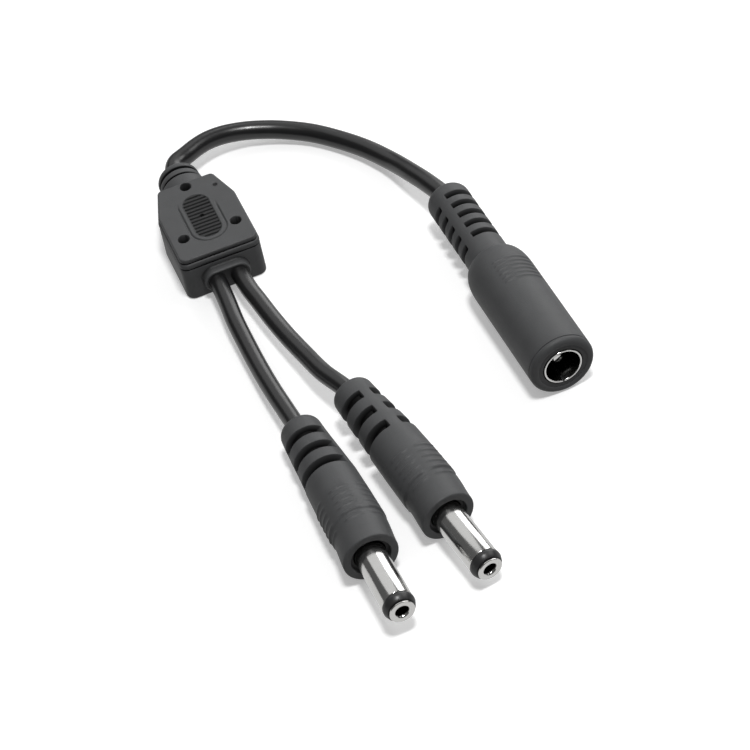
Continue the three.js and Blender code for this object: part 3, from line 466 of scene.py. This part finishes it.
def tube(line, diameter, sides=32):
    """Closed round tube along a line. The section's axes are carried along with the least turning: each is the
    last one with its part along the new direction taken out. The second result is its surface map."""
    ahead = np.gradient(line, axis=0)
    ahead /= np.linalg.norm(ahead, axis=1, keepdims=True)
    up = np.empty_like(line)
    carried = np.array([0.0, 0.0, 1.0])
    for i, direction in enumerate(ahead):
        carried = carried - direction * (carried @ direction)
        carried /= np.linalg.norm(carried)
        up[i] = carried
    across = np.cross(up, ahead)
    angle = np.arange(sides) * 2 * math.pi / sides
    ring = np.cos(angle)[None, :, None] * up[:, None] + np.sin(angle)[None, :, None] * across[:, None]
    points = line[:, None] + ring * diameter / 2
    length = np.linalg.norm(np.diff(line, axis=0), axis=1).sum()
    u, v = np.meshgrid(np.arange(sides) / sides, np.linspace(0, length, len(line)))
    faces = [grid_quads(len(line), sides, False, True), *end_faces(len(line), sides)]
    return (points.reshape(-1, 3), faces), np.stack([u, v], -1).reshape(-1, 2)


def cord_routes():
    """Centrelines of the three cords, from inside the block to inside the connectors."""
    routes = {"input_cord": [
        (0, CORD_START_Y, INPUT_CORD_Z),
        (0, (CORD_START_Y + INPUT_CORD_ROUTE[0][1]) / 2, INPUT_CORD_Z),
        *INPUT_CORD_ROUTE,
        behind("jack", JACK_LENGTH),
        behind("jack", (JACK_LENGTH + JACK_CORD_END) / 2),
        behind("jack", JACK_CORD_END),
    ]}
    for letter, x in (("a", -OUTPUT_CORD_X), ("b", OUTPUT_CORD_X)):
        plug = f"plug_{letter}"
        routes[f"output_cord_{letter}"] = [
            (x, -CORD_START_Y, OUTPUT_CORD_Z),
            (x, BOSS_FRONT, OUTPUT_CORD_Z),
            *OUTPUT_CORD_ROUTES[letter],
            behind(plug, PLUG_LENGTH),
            behind(plug, (PLUG_LENGTH + PLUG_CORD_END) / 2),
            behind(plug, PLUG_CORD_END),
        ]
    return routes


# Splitter block

def block_rim(inset):
    """Right side of the block's plan, moved inwards by inset, from the output end to the input end, as points and
    outward directions. Each corner is an arc that touches both of its straight sides."""
    corners = [(-x, y, r) for x, y, r in BLOCK_CORNERS[:1]] + list(BLOCK_CORNERS)
    corners.append((-BLOCK_CORNERS[-1][0], *BLOCK_CORNERS[-1][1:]))
    points, outward = [], []
    for before, corner, after in zip(corners, corners[1:], corners[2:]):
        at, radius = np.array(corner[:2]), corner[2]
        incoming, outgoing = at - np.array(before[:2]), np.array(after[:2]) - at
        start = math.atan2(-incoming[0], incoming[1])
        turn = math.atan2(outgoing[1], outgoing[0]) - math.atan2(incoming[1], incoming[0])
        middle = start + turn / 2
        centre = at - np.array([math.cos(middle), math.sin(middle)]) * radius / math.cos(turn / 2)
        angle = start + turn * np.linspace(0, 1, 13)
        direction = np.stack([np.cos(angle), np.sin(angle)], -1)
        outward.append(direction)
        points.append(centre + direction * (radius - inset))
    return np.concatenate(points), np.concatenate(outward)


def groove_pitch(settings):
    """Distance between the finger pad's cross grooves, which share out its length."""
    return 2 * PAD_HALF_LENGTH / (settings.groove_count + 0.04)


def top_relief(x, y, settings):
    """How deep the top face lies below its plane from the finger pad: its slight drop, its cross grooves, and the
    open loop of a groove around the lower end of the pad. The pin holes, dimple and gate pit come from
    ROUND_MARKS and are sunk in block_shell."""
    pad = box_distance(x, y - PAD_MIDDLE_Y, PAD_HALF_WIDTH, PAD_HALF_LENGTH, PAD_HALF_WIDTH)
    pitch = groove_pitch(settings)
    from_middle = y - PAD_MIDDLE_Y + pitch / 2 * (settings.groove_count % 2 - 1)
    from_groove = np.abs((from_middle + pitch / 2) % pitch - pitch / 2)
    groove = np.minimum(settings.groove_width / MM / 2 - from_groove, -pad - 0.02)
    depth = sunk(groove, settings.groove_depth / MM, 0.09, 0.1)
    depth = np.maximum(depth, 0.06 * smooth_step(-pad / 0.15 + 0.5))
    loop = 0.16 - np.abs(pad - 0.96)
    fade = 1 - smooth_step((y + 0.35 * x - 1.8) / 2.4)
    depth = np.maximum(depth, sunk(loop, 0.2, 0.1, 0.08) * fade)
    depth = np.maximum(depth, -0.05 * (1 - smooth_step(np.abs(pad - 0.5) / 0.3)) * fade)
    return depth


ROUND_MARKS = (  # x, y, radius, depth, rim
    (-5.15, -4.6, 1.1, 2.2, 0.1),
    (5.15, -4.6, 1.1, 2.2, 0.1),
    (-0.3, 9.1, 1.1, 2.2, 0.1),
    (4.9, 6.9, 0.45, 0.3, 0.12),
    (0.0, 0.0, 0.42, 0.9, 0.08),
)


def block_shell(settings):
    """Closed shell of the block. The top face is a height over a grid whose rows are straight across the block and
    end on its rim. The walls carry the rim down a profile of (height, inset), and the foot is one flat face."""
    rim_inset = BLOCK_WALL + 0.35
    rim, outward = block_rim(rim_inset)
    count = settings.groove_count
    half_groove = settings.groove_width / MM / 2
    centres = PAD_MIDDLE_Y + (np.arange(count) - (count - 1) / 2) * groove_pitch(settings)
    steps = np.array([-0.09, -0.04, 0.0, 0.1]) - half_groove
    edges = np.concatenate([centres[:, None] + steps, centres[:, None] - steps])
    rows = filled(np.concatenate([rim[:, 1], edges.ravel()]), 0.11)
    columns = np.linspace(-1, 1, 147)
    half_width = np.interp(rows, rim[:, 1], rim[:, 0])
    y, share = np.meshgrid(rows, columns, indexing="ij")
    x = share * half_width[:, None]
    edge = np.zeros_like(x, bool)
    edge[0] = edge[-1] = edge[:, 0] = edge[:, -1] = True
    for at_x, at_y, radius, _, _ in ROUND_MARKS:
        away = np.hypot(x - at_x, y - at_y)
        near = (np.abs(away - radius) < 0.062) & ~edge
        scale = np.where(near, radius / np.maximum(away, 1e-6), 1)
        x, y = at_x + (x - at_x) * scale, at_y + (y - at_y) * scale
    depth = top_relief(x, y, settings)
    for at_x, at_y, radius, deep, lip in ROUND_MARKS:
        depth = np.maximum(depth, sunk(radius - np.hypot(x - at_x, y - at_y), deep, lip, 0.03))
    depth[edge] = 0
    top = np.stack([x, y, BLOCK_TOP - depth], -1)
    count_y, count_x = x.shape
    number = np.arange(x.size).reshape(x.shape)
    ring = np.concatenate([number[0], number[1:, -1], number[-1, -2::-1], number[-2:0:-1, 0]])
    ring_points = top.reshape(-1, 3)[ring, :2]
    side = np.sign(ring_points[:, 0])
    facing = np.stack([np.interp(ring_points[:, 1], rim[:, 1], outward[:, 0]) * side,
                       np.interp(ring_points[:, 1], rim[:, 1], outward[:, 1])], -1)
    facing[:count_x] = [0, -1]
    facing[count_x + count_y - 2:2 * count_x + count_y - 2] = [0, 1]
    facing /= np.linalg.norm(facing, axis=1, keepdims=True)
    walls = wall_profile(rim_inset)
    rings = [np.column_stack([ring_points + facing * (rim_inset - inset), np.full(len(ring), z)])
             for z, inset in walls]
    points = np.concatenate([top.reshape(-1, 3), *rings])
    # Painted shade: darker with depth in the holes and grooves, in the walls' joint lines, and over the whole finger
    # pad, where it stands in for the weaker sheen of the pad.
    shade_width = PAD_HALF_WIDTH + PAD_SHADE_MARGIN
    pad = box_distance(x, y - PAD_MIDDLE_Y, shade_width, PAD_HALF_LENGTH + PAD_SHADE_MARGIN, shade_width)
    hollow = np.maximum(np.clip(depth / 0.45, 0, 1), 0.7 * smooth_step(-pad / 0.3 + 0.7))
    joints = np.repeat([joint_shade(z, inset) for z, inset in walls], len(ring))
    cavity = np.concatenate([hollow.ravel(), joints])
    first = x.size + (np.arange(len(walls))[:, None] * len(ring)) + np.arange(len(ring))
    levels = np.vstack([ring, first])
    across = np.roll(levels, -1, axis=1)
    sides = np.stack([levels[:-1], levels[1:], across[1:], across[:-1]], -1).reshape(-1, 4)
    return (points, [grid_quads(count_y, count_x), sides, levels[-1][::-1]]), cavity


def joint_shade(z, inset):
    """Painted shade of the walls at a height: dark where the inset goes into one of the two joint lines."""
    if 8 < z < 9:
        return np.clip((inset - 0.27) / 0.12, 0, 1)
    return np.clip((inset - 0.1) / 0.1, 0, 1) if 7 < z < 8 else 0


def wall_profile(rim_inset):
    """Profile of the block's walls as (height, inset), downwards: rounded top edge, top plate, dark joint line,
    rounded lip, second joint line, slightly drafted wall and rounded foot."""
    radius = rim_inset - BLOCK_WALL
    edge = [(BLOCK_TOP - radius + radius * math.cos(t), BLOCK_WALL + radius * (1 - math.sin(t)))
            for t in np.linspace(0, math.pi / 2, 7)[1:]]
    joint = [(8.85, 0.26), (8.78, 0.3), (8.72, 0.42), (8.6, 0.46), (8.5, 0.4), (8.44, 0.28)]
    lip = [(8.36, 0.17), (8.24, 0.09), (8.05, 0.03), (7.85, 0.01), (7.65, 0.02), (7.5, 0.06)]
    second = [(7.44, 0.14), (7.38, 0.24), (7.28, 0.26), (7.2, 0.2), (7.12, 0.1), (7.0, 0.05)]
    wall = [(5.0, 0.04), (2.5, 0.02), (0.5, 0.0)]
    foot = [(0.5 - 0.5 * math.sin(t), 0.45 * (1 - math.cos(t))) for t in np.linspace(0, math.pi / 2, 6)[1:]]
    return edge + joint + lip + second + wall + foot


def boss_shell():
    """Flat oval boss around the two output cords: a rounded rectangle carried along -y, with a rounded front. The
    second result is its painted shade, at the root and on the front between the cords."""
    half_height, sides = 2.35, 96
    angle = np.arange(sides) * 2 * math.pi / sides
    side = np.sign(np.round(np.cos(angle), 9))
    levels = [(-10.0, 0.0), (-10.9, -0.25), (-11.05, -0.06), (-11.3, 0.0)]
    levels += [(BOSS_FRONT + 0.4 - 0.4 * math.sin(t), 0.4 * (1 - math.cos(t))) for t in np.linspace(0, math.pi / 2, 6)]
    rings = []
    for y, inset in levels:
        radius = half_height - inset
        x = side * OUTPUT_CORD_X + radius * np.cos(angle)
        rings.append(np.stack([x, np.full_like(x, y), OUTPUT_CORD_Z + radius * np.sin(angle)], -1))
    faces = [grid_quads(len(rings), sides, False, True), *end_faces(len(rings), sides)]
    shade = [0.8 if y > -11.1 else 0.4 if y > -11.4 else 0.0 for y, _ in levels[:-2]] + [0.35, 0.75]
    return (np.concatenate(rings), faces), np.repeat(shade, sides)


def relief_shell():
    """Ringed relief around the input cord: neck, deep groove, ring, shallow groove and domed end with a flared
    mouth, turned about the cord's axis. The second result is its painted shade, in the grooves and the mouth."""
    loop = [
        (2.15, 10.45), (4.65, 10.45), (4.65, 12.9), (4.6, 13.15), (4.45, 13.34), (4.3, 13.4), (3.2, 13.42), (3.1, 13.5),
        (3.1, 14.0), (3.2, 14.08), (3.95, 14.1), (4.12, 14.16), (4.2, 14.32), (4.2, 15.28), (4.12, 15.44),
        (3.95, 15.5), (3.6, 15.52), (3.5, 15.6), (3.5, 16.1), (3.6, 16.18), (3.9, 16.2), (4.05, 16.28),
        *quarter((3.2, RELIEF_END_Y - 0.05), (4.1, 16.7), 10)[::-1],
        (3.05, RELIEF_END_Y), (2.45, RELIEF_END_Y), (2.25, 17.5), (2.15, 16.8), (2.15, 14.0),
    ]
    points, faces = turned(loop, 96)
    x, y, z = points.T
    radius = np.hypot(x, y)
    grooves = np.where(z < 14.2, smooth_step((4.6 - radius) / 0.3) * (z > 12.95),
                       smooth_step((4.2 - radius) / 0.3) * (z < 16.4))
    mouth = smooth_step((2.9 - radius) / 0.5) * (z > 17)
    return (np.stack([x, z, INPUT_CORD_Z + y], -1), faces), np.maximum(grooves, mouth)


# Shader effects, each built once as a node group

def node_group(name, inputs, outputs):
    """Empty shader node group with named sockets, and its input and output nodes."""
    group = bpy.data.node_groups.new(name, "ShaderNodeTree")
    for socket, kind, value in inputs:
        made = group.interface.new_socket(socket, in_out="INPUT", socket_type=kind)
        made.default_value = value
    for socket, kind in outputs:
        group.interface.new_socket(socket, in_out="OUTPUT", socket_type=kind)
    return group, group.nodes.new("NodeGroupInput"), group.nodes.new("NodeGroupOutput")


def add(tree, kind, inputs=None, **options):
    """New node in a tree with options set on it and inputs set or linked, by socket name or number."""
    node = tree.nodes.new(kind)
    for key, value in options.items():
        setattr(node, key, value)
    for key, value in (inputs or {}).items():
        if isinstance(value, bpy.types.NodeSocket):
            tree.links.new(value, node.inputs[key])
        else:
            node.inputs[key].default_value = value
    return node


def math_node(tree, operation, a, b):
    """Value of one operation on two values."""
    return add(tree, "ShaderNodeMath", {0: a, 1: b}, operation=operation).outputs[0]


def spread(tree, value, low, high):
    """Value stretched from 0..1 to low..high."""
    return add(tree, "ShaderNodeMapRange", {"Value": value, "To Min": low, "To Max": high}).outputs[0]


def scaled(tree, colour, level):
    """Colour times a level."""
    return add(tree, "ShaderNodeVectorMath", {0: colour, "Scale": level}, operation="SCALE").outputs[0]


def noise(tree, place, scale, detail, roughness=0.5):
    """Noise pattern from 0 to 1 at a place."""
    return add(tree, "ShaderNodeTexNoise", {
        "Vector": place, "Scale": scale, "Detail": detail, "Roughness": roughness}).outputs[0]


def skin_group(name, sizes):
    """Empty skin group that takes a colour, the named sizes, shade, roughness and rubbing, and gives colour,
    roughness and height. The last result is the place on the object in millimetres."""
    floats = [(size, "NodeSocketFloat", 1.0) for size in (*sizes, "Shade", "Roughness", "Rubbing")]
    tree, given, result = node_group(
        name, [("Colour", "NodeSocketColor", (0.05, 0.05, 0.05, 1)), *floats],
        [("Colour", "NodeSocketColor"), ("Roughness", "NodeSocketFloat"), ("Height", "NodeSocketFloat")])
    place = add(tree, "ShaderNodeTexCoord").outputs["Object"]
    return tree, given, result, add(tree, "ShaderNodeMapping", {"Vector": place, "Scale": (1 / MM,) * 3}).outputs[0]


def skin_result(tree, given, result, mottled, rubbed, height):
    """Ends a skin group: one pattern shades the colour, one changes the roughness and one is the height. Where
    the mesh's shade attribute is set, mostly inside openings and grooves, painted shade takes the colour down
    to almost nothing."""
    shade = given.outputs["Shade"]
    level = spread(tree, mottled, math_node(tree, "SUBTRACT", 1.0, shade), math_node(tree, "ADD", 1.0, shade))
    # Painted shade: this point attribute takes the colour down to 3 % where it is 1.
    depth = add(tree, "ShaderNodeAttribute", attribute_name="cavity").outputs["Fac"]
    colour = scaled(tree, scaled(tree, given.outputs["Colour"], level), spread(tree, depth, 1.0, 0.03))
    polish = math_node(tree, "MULTIPLY", spread(tree, rubbed, -1.0, 1.0), given.outputs["Rubbing"])
    tree.links.new(colour, result.inputs["Colour"])
    tree.links.new(math_node(tree, "ADD", given.outputs["Roughness"], polish), result.inputs["Roughness"])
    tree.links.new(height, result.inputs["Height"])
    return tree


def halfway(tree, a, b):
    """Mean of two patterns."""
    return math_node(tree, "ADD", math_node(tree, "MULTIPLY", a, 0.5), math_node(tree, "MULTIPLY", b, 0.5))


def moulded_skin():
    """Skin of moulded plastic: fine spark-eroded grain, soft cloudy shade and faint rubbed patches."""
    tree, given, result, mm = skin_group("moulded skin", ["Grain per mm"])
    grain = noise(tree, mm, given.outputs["Grain per mm"], 3.0, 0.6)
    cloud = noise(tree, mm, 0.35, 4.0)
    rubbed = noise(tree, mm, 0.9, 6.0, 0.7)
    return skin_result(tree, given, result, halfway(tree, grain, cloud), rubbed, grain)


def drawn_skin():
    """Skin of something drawn or turned, on the piece's own surface map: fine lines along v, with faint waves."""
    tree, given, result, mm = skin_group("drawn skin", ["Around", "Along"])
    surface = add(tree, "ShaderNodeUVMap", uv_map="along").outputs[0]
    parts = add(tree, "ShaderNodeSeparateXYZ", {0: surface})
    stretched = add(tree, "ShaderNodeCombineXYZ", {
        0: math_node(tree, "MULTIPLY", parts.outputs[0], given.outputs["Around"]),
        1: math_node(tree, "MULTIPLY", parts.outputs[1], given.outputs["Along"])}).outputs[0]
    lines = noise(tree, stretched, 1.0, 4.0)
    smudge = noise(tree, mm, 0.6, 5.0, 0.65)
    return skin_result(tree, given, result, smudge, halfway(tree, lines, smudge), lines)


def empty_material(name):
    """New material without nodes, and its node tree."""
    material = bpy.data.materials.new(name)
    material.use_nodes = True
    material.node_tree.nodes.clear()
    return material, material.node_tree


def finish(name, skin, values, bump, fixed):
    """Material whose colour, roughness and relief come from a skin group, with the rest set on the shader."""
    group = bpy.data.node_groups.get(skin) or {"moulded skin": moulded_skin, "drawn skin": drawn_skin}[skin]()
    material, tree = empty_material(name)
    effect = tree.nodes.new("ShaderNodeGroup")
    effect.node_tree = group
    for key, value in values.items():
        effect.inputs[key].default_value = value
    relief = add(tree, "ShaderNodeBump", {
        "Height": effect.outputs["Height"], "Strength": 1.0, "Distance": bump * MM}).outputs[0]
    shader = add(tree, "ShaderNodeBsdfPrincipled", {
        "Base Color": effect.outputs["Colour"], "Roughness": effect.outputs["Roughness"], "Normal": relief, **fixed})
    add(tree, "ShaderNodeOutputMaterial", {"Surface": shader.outputs[0]})
    return material


def material_of(slot):
    """The material of one of the record's slots, made the first time it is asked for."""
    name = f"cable {slot}"
    found = bpy.data.materials.get(name)
    if found:
        return found
    looks = bpy.context.scene.cable_finish
    if slot == "grip_plastic":
        return finish(name, "moulded skin", {
            "Colour": (*looks.grip_colour, 1), "Grain per mm": looks.grain_per_mm, "Shade": 0.2,
            "Roughness": looks.grip_roughness, "Rubbing": 0.06}, 0.03, {"Specular IOR Level": 0.32})
    if slot == "cord_sheath":
        return finish(name, "drawn skin", {
            "Colour": (*looks.cord_colour, 1), "Around": 24.0, "Along": 0.12, "Shade": 0.15,
            "Roughness": looks.cord_roughness, "Rubbing": 0.06}, 0.004, {"Specular IOR Level": 0.75})
    if slot == "nickel":
        return finish(name, "drawn skin", {
            "Colour": (*looks.nickel_colour, 1), "Around": 1.5, "Along": 14.0, "Shade": 0.05,
            "Roughness": looks.nickel_roughness, "Rubbing": 0.04}, 0.0002, {"Metallic": 1.0})
    plain = {
        "black_insulator": ((0.03, 0.03, 0.031, 1), 0.36, 0.06, 0.008, {}),
        "inner_moulding": ((0.7, 0.68, 0.62, 1), 0.5, 0.06, 0.02, {"Subsurface Weight": 0.1, "Subsurface Scale": MM}),
        "splice_metal": ((0.72, 0.5, 0.22, 1), 0.32, 0.1, 0.01, {"Metallic": 1.0}),
        "core_red": ((0.45, 0.03, 0.025, 1), 0.4, 0.08, 0.008, {}),
        "core_black": ((0.02, 0.02, 0.021, 1), 0.4, 0.08, 0.008, {}),
    }
    colour, roughness, shade, bump, fixed = plain[slot]
    return finish(name, "moulded skin", {
        "Colour": colour, "Grain per mm": 3.0, "Shade": shade, "Roughness": roughness, "Rubbing": 0.06}, bump, fixed)


# Settings that a user would change

def setting(name, description, default, **limits):
    """Property that holds a number."""
    return bpy.props.FloatProperty(name=name, description=description, default=default, **limits)


def colour_setting(name, description, default):
    """Property that holds a colour."""
    return bpy.props.FloatVectorProperty(
        name=name, description=description, subtype="COLOR", size=3, default=default, min=0, max=1)


class CableCordSettings(bpy.types.PropertyGroup):
    """Sizes of the three cords"""
    input_diameter: setting("Input cord", "Outer diameter of the cord to the socket", 3.7 * MM, unit="LENGTH")
    output_diameter: setting("Output cords", "Outer diameter of the cords to the plugs", 3.4 * MM, unit="LENGTH")


class CableBlockSettings(bpy.types.PropertyGroup):
    """Sizes of the finger pad on the splitter block"""
    groove_count: bpy.props.IntProperty(
        name="Pad grooves", description="Cross grooves of the finger pad", default=13, min=3, max=25)
    groove_width: setting("Groove width", "Width of one cross groove", 0.48 * MM, unit="LENGTH")
    groove_depth: setting("Groove depth", "Depth of one cross groove", 0.35 * MM, unit="LENGTH")


class CableFinishSettings(bpy.types.PropertyGroup):
    """Colours and gloss of the visible finishes"""
    grip_colour: colour_setting("Mouldings", "Colour of the block and the grips", (0.08, 0.0815, 0.0835))
    grip_roughness: setting("Moulding roughness", "Roughness of the block and the grips", 0.5, min=0, max=1)
    grain_per_mm: setting("Grain", "Moulding grain, in grains per millimetre", 5.0, min=0.5, max=20)
    cord_colour: colour_setting("Cords", "Colour of the cords", (0.009, 0.009, 0.0095))
    cord_roughness: setting("Cord roughness", "Roughness of the cords", 0.3, min=0, max=1)
    nickel_colour: colour_setting("Contacts", "Colour of the bright contacts", (0.74, 0.735, 0.72))
    nickel_roughness: setting("Contact roughness", "Roughness of the bright contacts", 0.17, min=0, max=1)


class CableStageSettings(bpy.types.PropertyGroup):
    """Light and floor of the studio"""
    key_power: setting("Key lamp", "Power of the soft lamp behind and to the right", 2.6, unit="POWER")
    side_power: setting("Side lamp", "Power of the soft lamp on the right", 1.8, unit="POWER")
    overhead_power: setting("Overhead lamp", "Power of the small lamp overhead", 6.0, unit="POWER")
    back_power: setting("Back lamp", "Power of the dim broad lamp behind", 1.6, unit="POWER")
    sky: setting("Surrounding light", "Strength of the even light all round", 0.1, min=0, max=2)


# Operators: the camera, each group of pieces, and the stage

class CABLE_OT_camera(bpy.types.Operator):
    """Camera at the photograph's viewing angle, half a metre from the cable"""
    bl_idname = "cable.camera"
    bl_label = "Camera"

    def execute(self, context):
        data = bpy.data.cameras.new("camera")
        data.sensor_width = CAMERA_SENSOR
        data.lens = CAMERA_LENS
        data.clip_start = 0.05
        data.clip_end = 20.0
        camera = shown("camera", data)
        placed = Matrix(CAMERA_AXES).transposed().to_4x4()
        placed.translation = CAMERA_PLACE
        camera.matrix_world = placed
        context.scene.camera = camera
        return {"FINISHED"}


class CABLE_OT_plugs(bpy.types.Operator):
    """Two barrel plugs: grip, barrel, insulator and inner contact each"""
    bl_idname = "cable.plugs"
    bl_label = "Barrel plugs"

    def execute(self, context):
        for name in ("plug_a", "plug_b"):
            shell, cavity = plug_grip(name)
            new_piece(f"{name}_ribbed_grip", [shell], "grip_plastic", [f"{name}_grip"], cavity=cavity)
            new_piece(f"{name}_bright_barrel", [barrel(name)], "nickel", [f"{name}_barrel"],
                      surface=axial_surface(name, barrel(name)))
            new_piece(f"{name}_chamfered_insulator", [tip_insulator(name)], "black_insulator",
                      [f"{name}_tip_insulator"])
            new_piece(f"{name}_bright_contact", [center_contact(name)], "nickel", [f"{name}_center_contact"],
                      surface=axial_surface(name, center_contact(name)),
                      cavity=painted_bore_shade(name, center_contact(name), 1.3, 13.45, 0.5))
        return {"FINISHED"}


class CABLE_OT_socket(bpy.types.Operator):
    """Barrel socket: grip, sleeve and split pin"""
    bl_idname = "cable.socket"
    bl_label = "Barrel socket"

    def execute(self, context):
        shell, cavity = jack_grip()
        new_piece("jack_ribbed_grip", [shell], "grip_plastic", ["jack_grip"], cavity=cavity)
        new_piece("jack_rolled_sleeve", [sleeve()], "nickel", ["jack_sleeve"],
                  surface=axial_surface("jack", sleeve()), cavity=painted_bore_shade("jack", sleeve(), 3.4, 0.0, 0.15))
        new_piece("jack_split_pin", pin_shells(), "nickel", ["jack_pin"],
                  surface=axial_surface("jack", joined(pin_shells())))
        return {"FINISHED"}


class CABLE_OT_cords(bpy.types.Operator):
    """Three cords on the routes of the CAD model"""
    bl_idname = "cable.cords"
    bl_label = "Cords"

    def execute(self, context):
        sizes = context.scene.cable_cords
        for name, route in cord_routes().items():
            diameter = sizes.input_diameter if name == "input_cord" else sizes.output_diameter
            line = smooth_line(route, 0.6)
            shell, surface = tube(line, diameter / MM)
            piece = new_piece(f"{name}_sheath", [shell], "cord_sheath", surface=surface)
            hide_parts(name)
        return {"FINISHED"}


class CABLE_OT_block(bpy.types.Operator):
    """Splitter block: body with its marks and finger pad, ringed relief and output boss"""
    bl_idname = "cable.block"
    bl_label = "Splitter block"

    def execute(self, context):
        parts = {"body": block_shell(context.scene.cable_block), "relief": relief_shell(), "boss": boss_shell()}
        for name, (shell, cavity) in parts.items():
            new_piece(f"splitter_{name}", [shell], "grip_plastic", ["splitter_overmould"], cavity=cavity)
        return {"FINISHED"}


class CABLE_OT_inner_parts(bpy.types.Operator):
    """Finishes of the parts inside the mouldings, which keep their CAD shape"""
    bl_idname = "cable.inner_parts"
    bl_label = "Inner parts"

    def execute(self, context):
        slots = {part["node"]: part["material_slot"] for part in frame["record"]["subparts"]}
        for name, node in frame["nodes"].items():
            if not node.hide_render:
                node.data.materials.clear()
                node.data.materials.append(material_of(slots[name]))
        return {"FINISHED"}


class CABLE_OT_stage(bpy.types.Operator):
    """White floor that keeps the object's shadow, four soft lamps and even surrounding light"""
    bl_idname = "cable.stage"
    bl_label = "Stage"

    def execute(self, context):
        settings = context.scene.cable_stage
        mesh = bpy.data.meshes.new("floor")
        corners = [(x * FLOOR_HALF, y * FLOOR_HALF, 0) for x, y in ((-1, -1), (1, -1), (1, 1), (-1, 1))]
        mesh.from_pydata(corners, [], [(0, 1, 2, 3)])
        mesh.materials.append(floor_material())
        floor = shown("floor", mesh)
        for name, place, size, power in LAMPS:
            lamp(name, place, size, getattr(settings, power))
        world = bpy.data.worlds.new("surroundings")
        context.scene.world = world
        world.use_nodes = True
        world.node_tree.nodes.clear()
        light = add(world.node_tree, "ShaderNodeBackground", {0: (1, 1, 1, 1), 1: settings.sky})
        white = add(world.node_tree, "ShaderNodeBackground", {0: (1, 1, 1, 1), 1: 1.0})
        seen = add(world.node_tree, "ShaderNodeLightPath").outputs["Is Camera Ray"]
        mixed = add(world.node_tree, "ShaderNodeMixShader", {0: seen, 1: light.outputs[0], 2: white.outputs[0]})
        add(world.node_tree, "ShaderNodeOutputWorld", {"Surface": mixed.outputs[0]})
        context.scene.view_settings.view_transform = "Standard"
        return {"FINISHED"}


class CABLE_PT_panel(bpy.types.Panel):
    """Settings and steps of the splitter cable"""
    bl_idname = "CABLE_PT_panel"
    bl_label = "Splitter Cable"
    bl_space_type = "VIEW_3D"
    bl_region_type = "UI"
    bl_category = "Splitter Cable"

    def draw(self, context):
        for group in SETTINGS:
            box = self.layout.box()
            for name in SETTINGS[group].__annotations__:
                box.prop(getattr(context.scene, group), name)
        for operator in STEPS:
            self.layout.operator(operator.bl_idname)


# Helpers of the operators

def painted_bore_shade(name, shell, radius, mouth, fade):
    """Painted shade inside a connector piece's bore: 0 outside the bore, rising to 1 along the first stretch, fade
    long, behind its mouth.
    """
    local = own_place(name, shell[0])
    return smooth_step((mouth - local[:, 2]) / fade) * (np.hypot(local[:, 0], local[:, 1]) < radius)


def axial_surface(name, shell):
    """Surface map of a connector's piece: u is the turn around its axis, v the distance along it in millimetres."""
    local = own_place(name, shell[0])
    return np.stack([np.arctan2(local[:, 0], local[:, 1]) / (2 * math.pi), local[:, 2]], -1)


def lamp(name, place, size, power):
    """Round soft lamp at a place, turned towards the lamps' target."""
    data = bpy.data.lights.new(name, "AREA")
    data.shape = "DISK"
    data.size = size
    data.energy = power
    made = shown(name, data)
    made.location = place
    ahead = [b - a for a, b in zip(place, LAMP_TARGET)]
    made.rotation_mode = "QUATERNION"
    made.rotation_quaternion = Vector(ahead).to_track_quat("-Z", "Y")


def floor_material():
    """Pale floor: for the camera its lit parts come out white and its shadow grey, for reflections it is white,
    and it bounces light as a plain pale surface."""
    material, tree = empty_material("floor")
    pale = add(tree, "ShaderNodeBsdfDiffuse", {"Color": (0.12, 0.12, 0.12, 1)})
    bright = add(tree, "ShaderNodeBsdfDiffuse", {"Color": (0.9, 0.9, 0.9, 1)})
    glow = add(tree, "ShaderNodeEmission", {"Color": (1, 1, 1, 1), "Strength": 0.34})
    lifted = add(tree, "ShaderNodeAddShader", {0: bright.outputs[0], 1: glow.outputs[0]})
    white = add(tree, "ShaderNodeEmission", {"Color": (1, 1, 1, 1), "Strength": 0.7})
    path = add(tree, "ShaderNodeLightPath")
    seen = add(tree, "ShaderNodeMixShader", {
        0: path.outputs["Is Camera Ray"], 1: pale.outputs[0], 2: lifted.outputs[0]})
    mirrored = math_node(tree, "MAXIMUM", path.outputs["Is Glossy Ray"], path.outputs["Is Transmission Ray"])
    mixed = add(tree, "ShaderNodeMixShader", {0: mirrored, 1: seen.outputs[0], 2: white.outputs[0]})
    add(tree, "ShaderNodeOutputMaterial", {"Surface": mixed.outputs[0]})
    return material


SETTINGS = {
    "cable_cords": CableCordSettings,
    "cable_block": CableBlockSettings,
    "cable_finish": CableFinishSettings,
    "cable_stage": CableStageSettings,
}
STEPS = (CABLE_OT_camera, CABLE_OT_plugs, CABLE_OT_socket, CABLE_OT_cords, CABLE_OT_block, CABLE_OT_inner_parts,
         CABLE_OT_stage)


def register():
    """Registers the settings, the operators and the panel."""
    for name, group in SETTINGS.items():
        bpy.utils.register_class(group)
        setattr(bpy.types.Scene, name, bpy.props.PointerProperty(type=group))
    for made in (*STEPS, CABLE_PT_panel):
        bpy.utils.register_class(made)


def unregister():
    """Takes the panel, the operators and the settings off again."""
    for made in (CABLE_PT_panel, *reversed(STEPS)):
        bpy.utils.unregister_class(made)
    for name, group in reversed(SETTINGS.items()):
        delattr(bpy.types.Scene, name)
        bpy.utils.unregister_class(group)


def main():
    """Builds everything in order."""
    register()
    bpy.ops.cable.camera()
    bpy.ops.cable.plugs()
    bpy.ops.cable.socket()
    bpy.ops.cable.cords()
    bpy.ops.cable.block()
    bpy.ops.cable.inner_parts()
    bpy.ops.cable.stage()


if __name__ == "__main__":
    main()
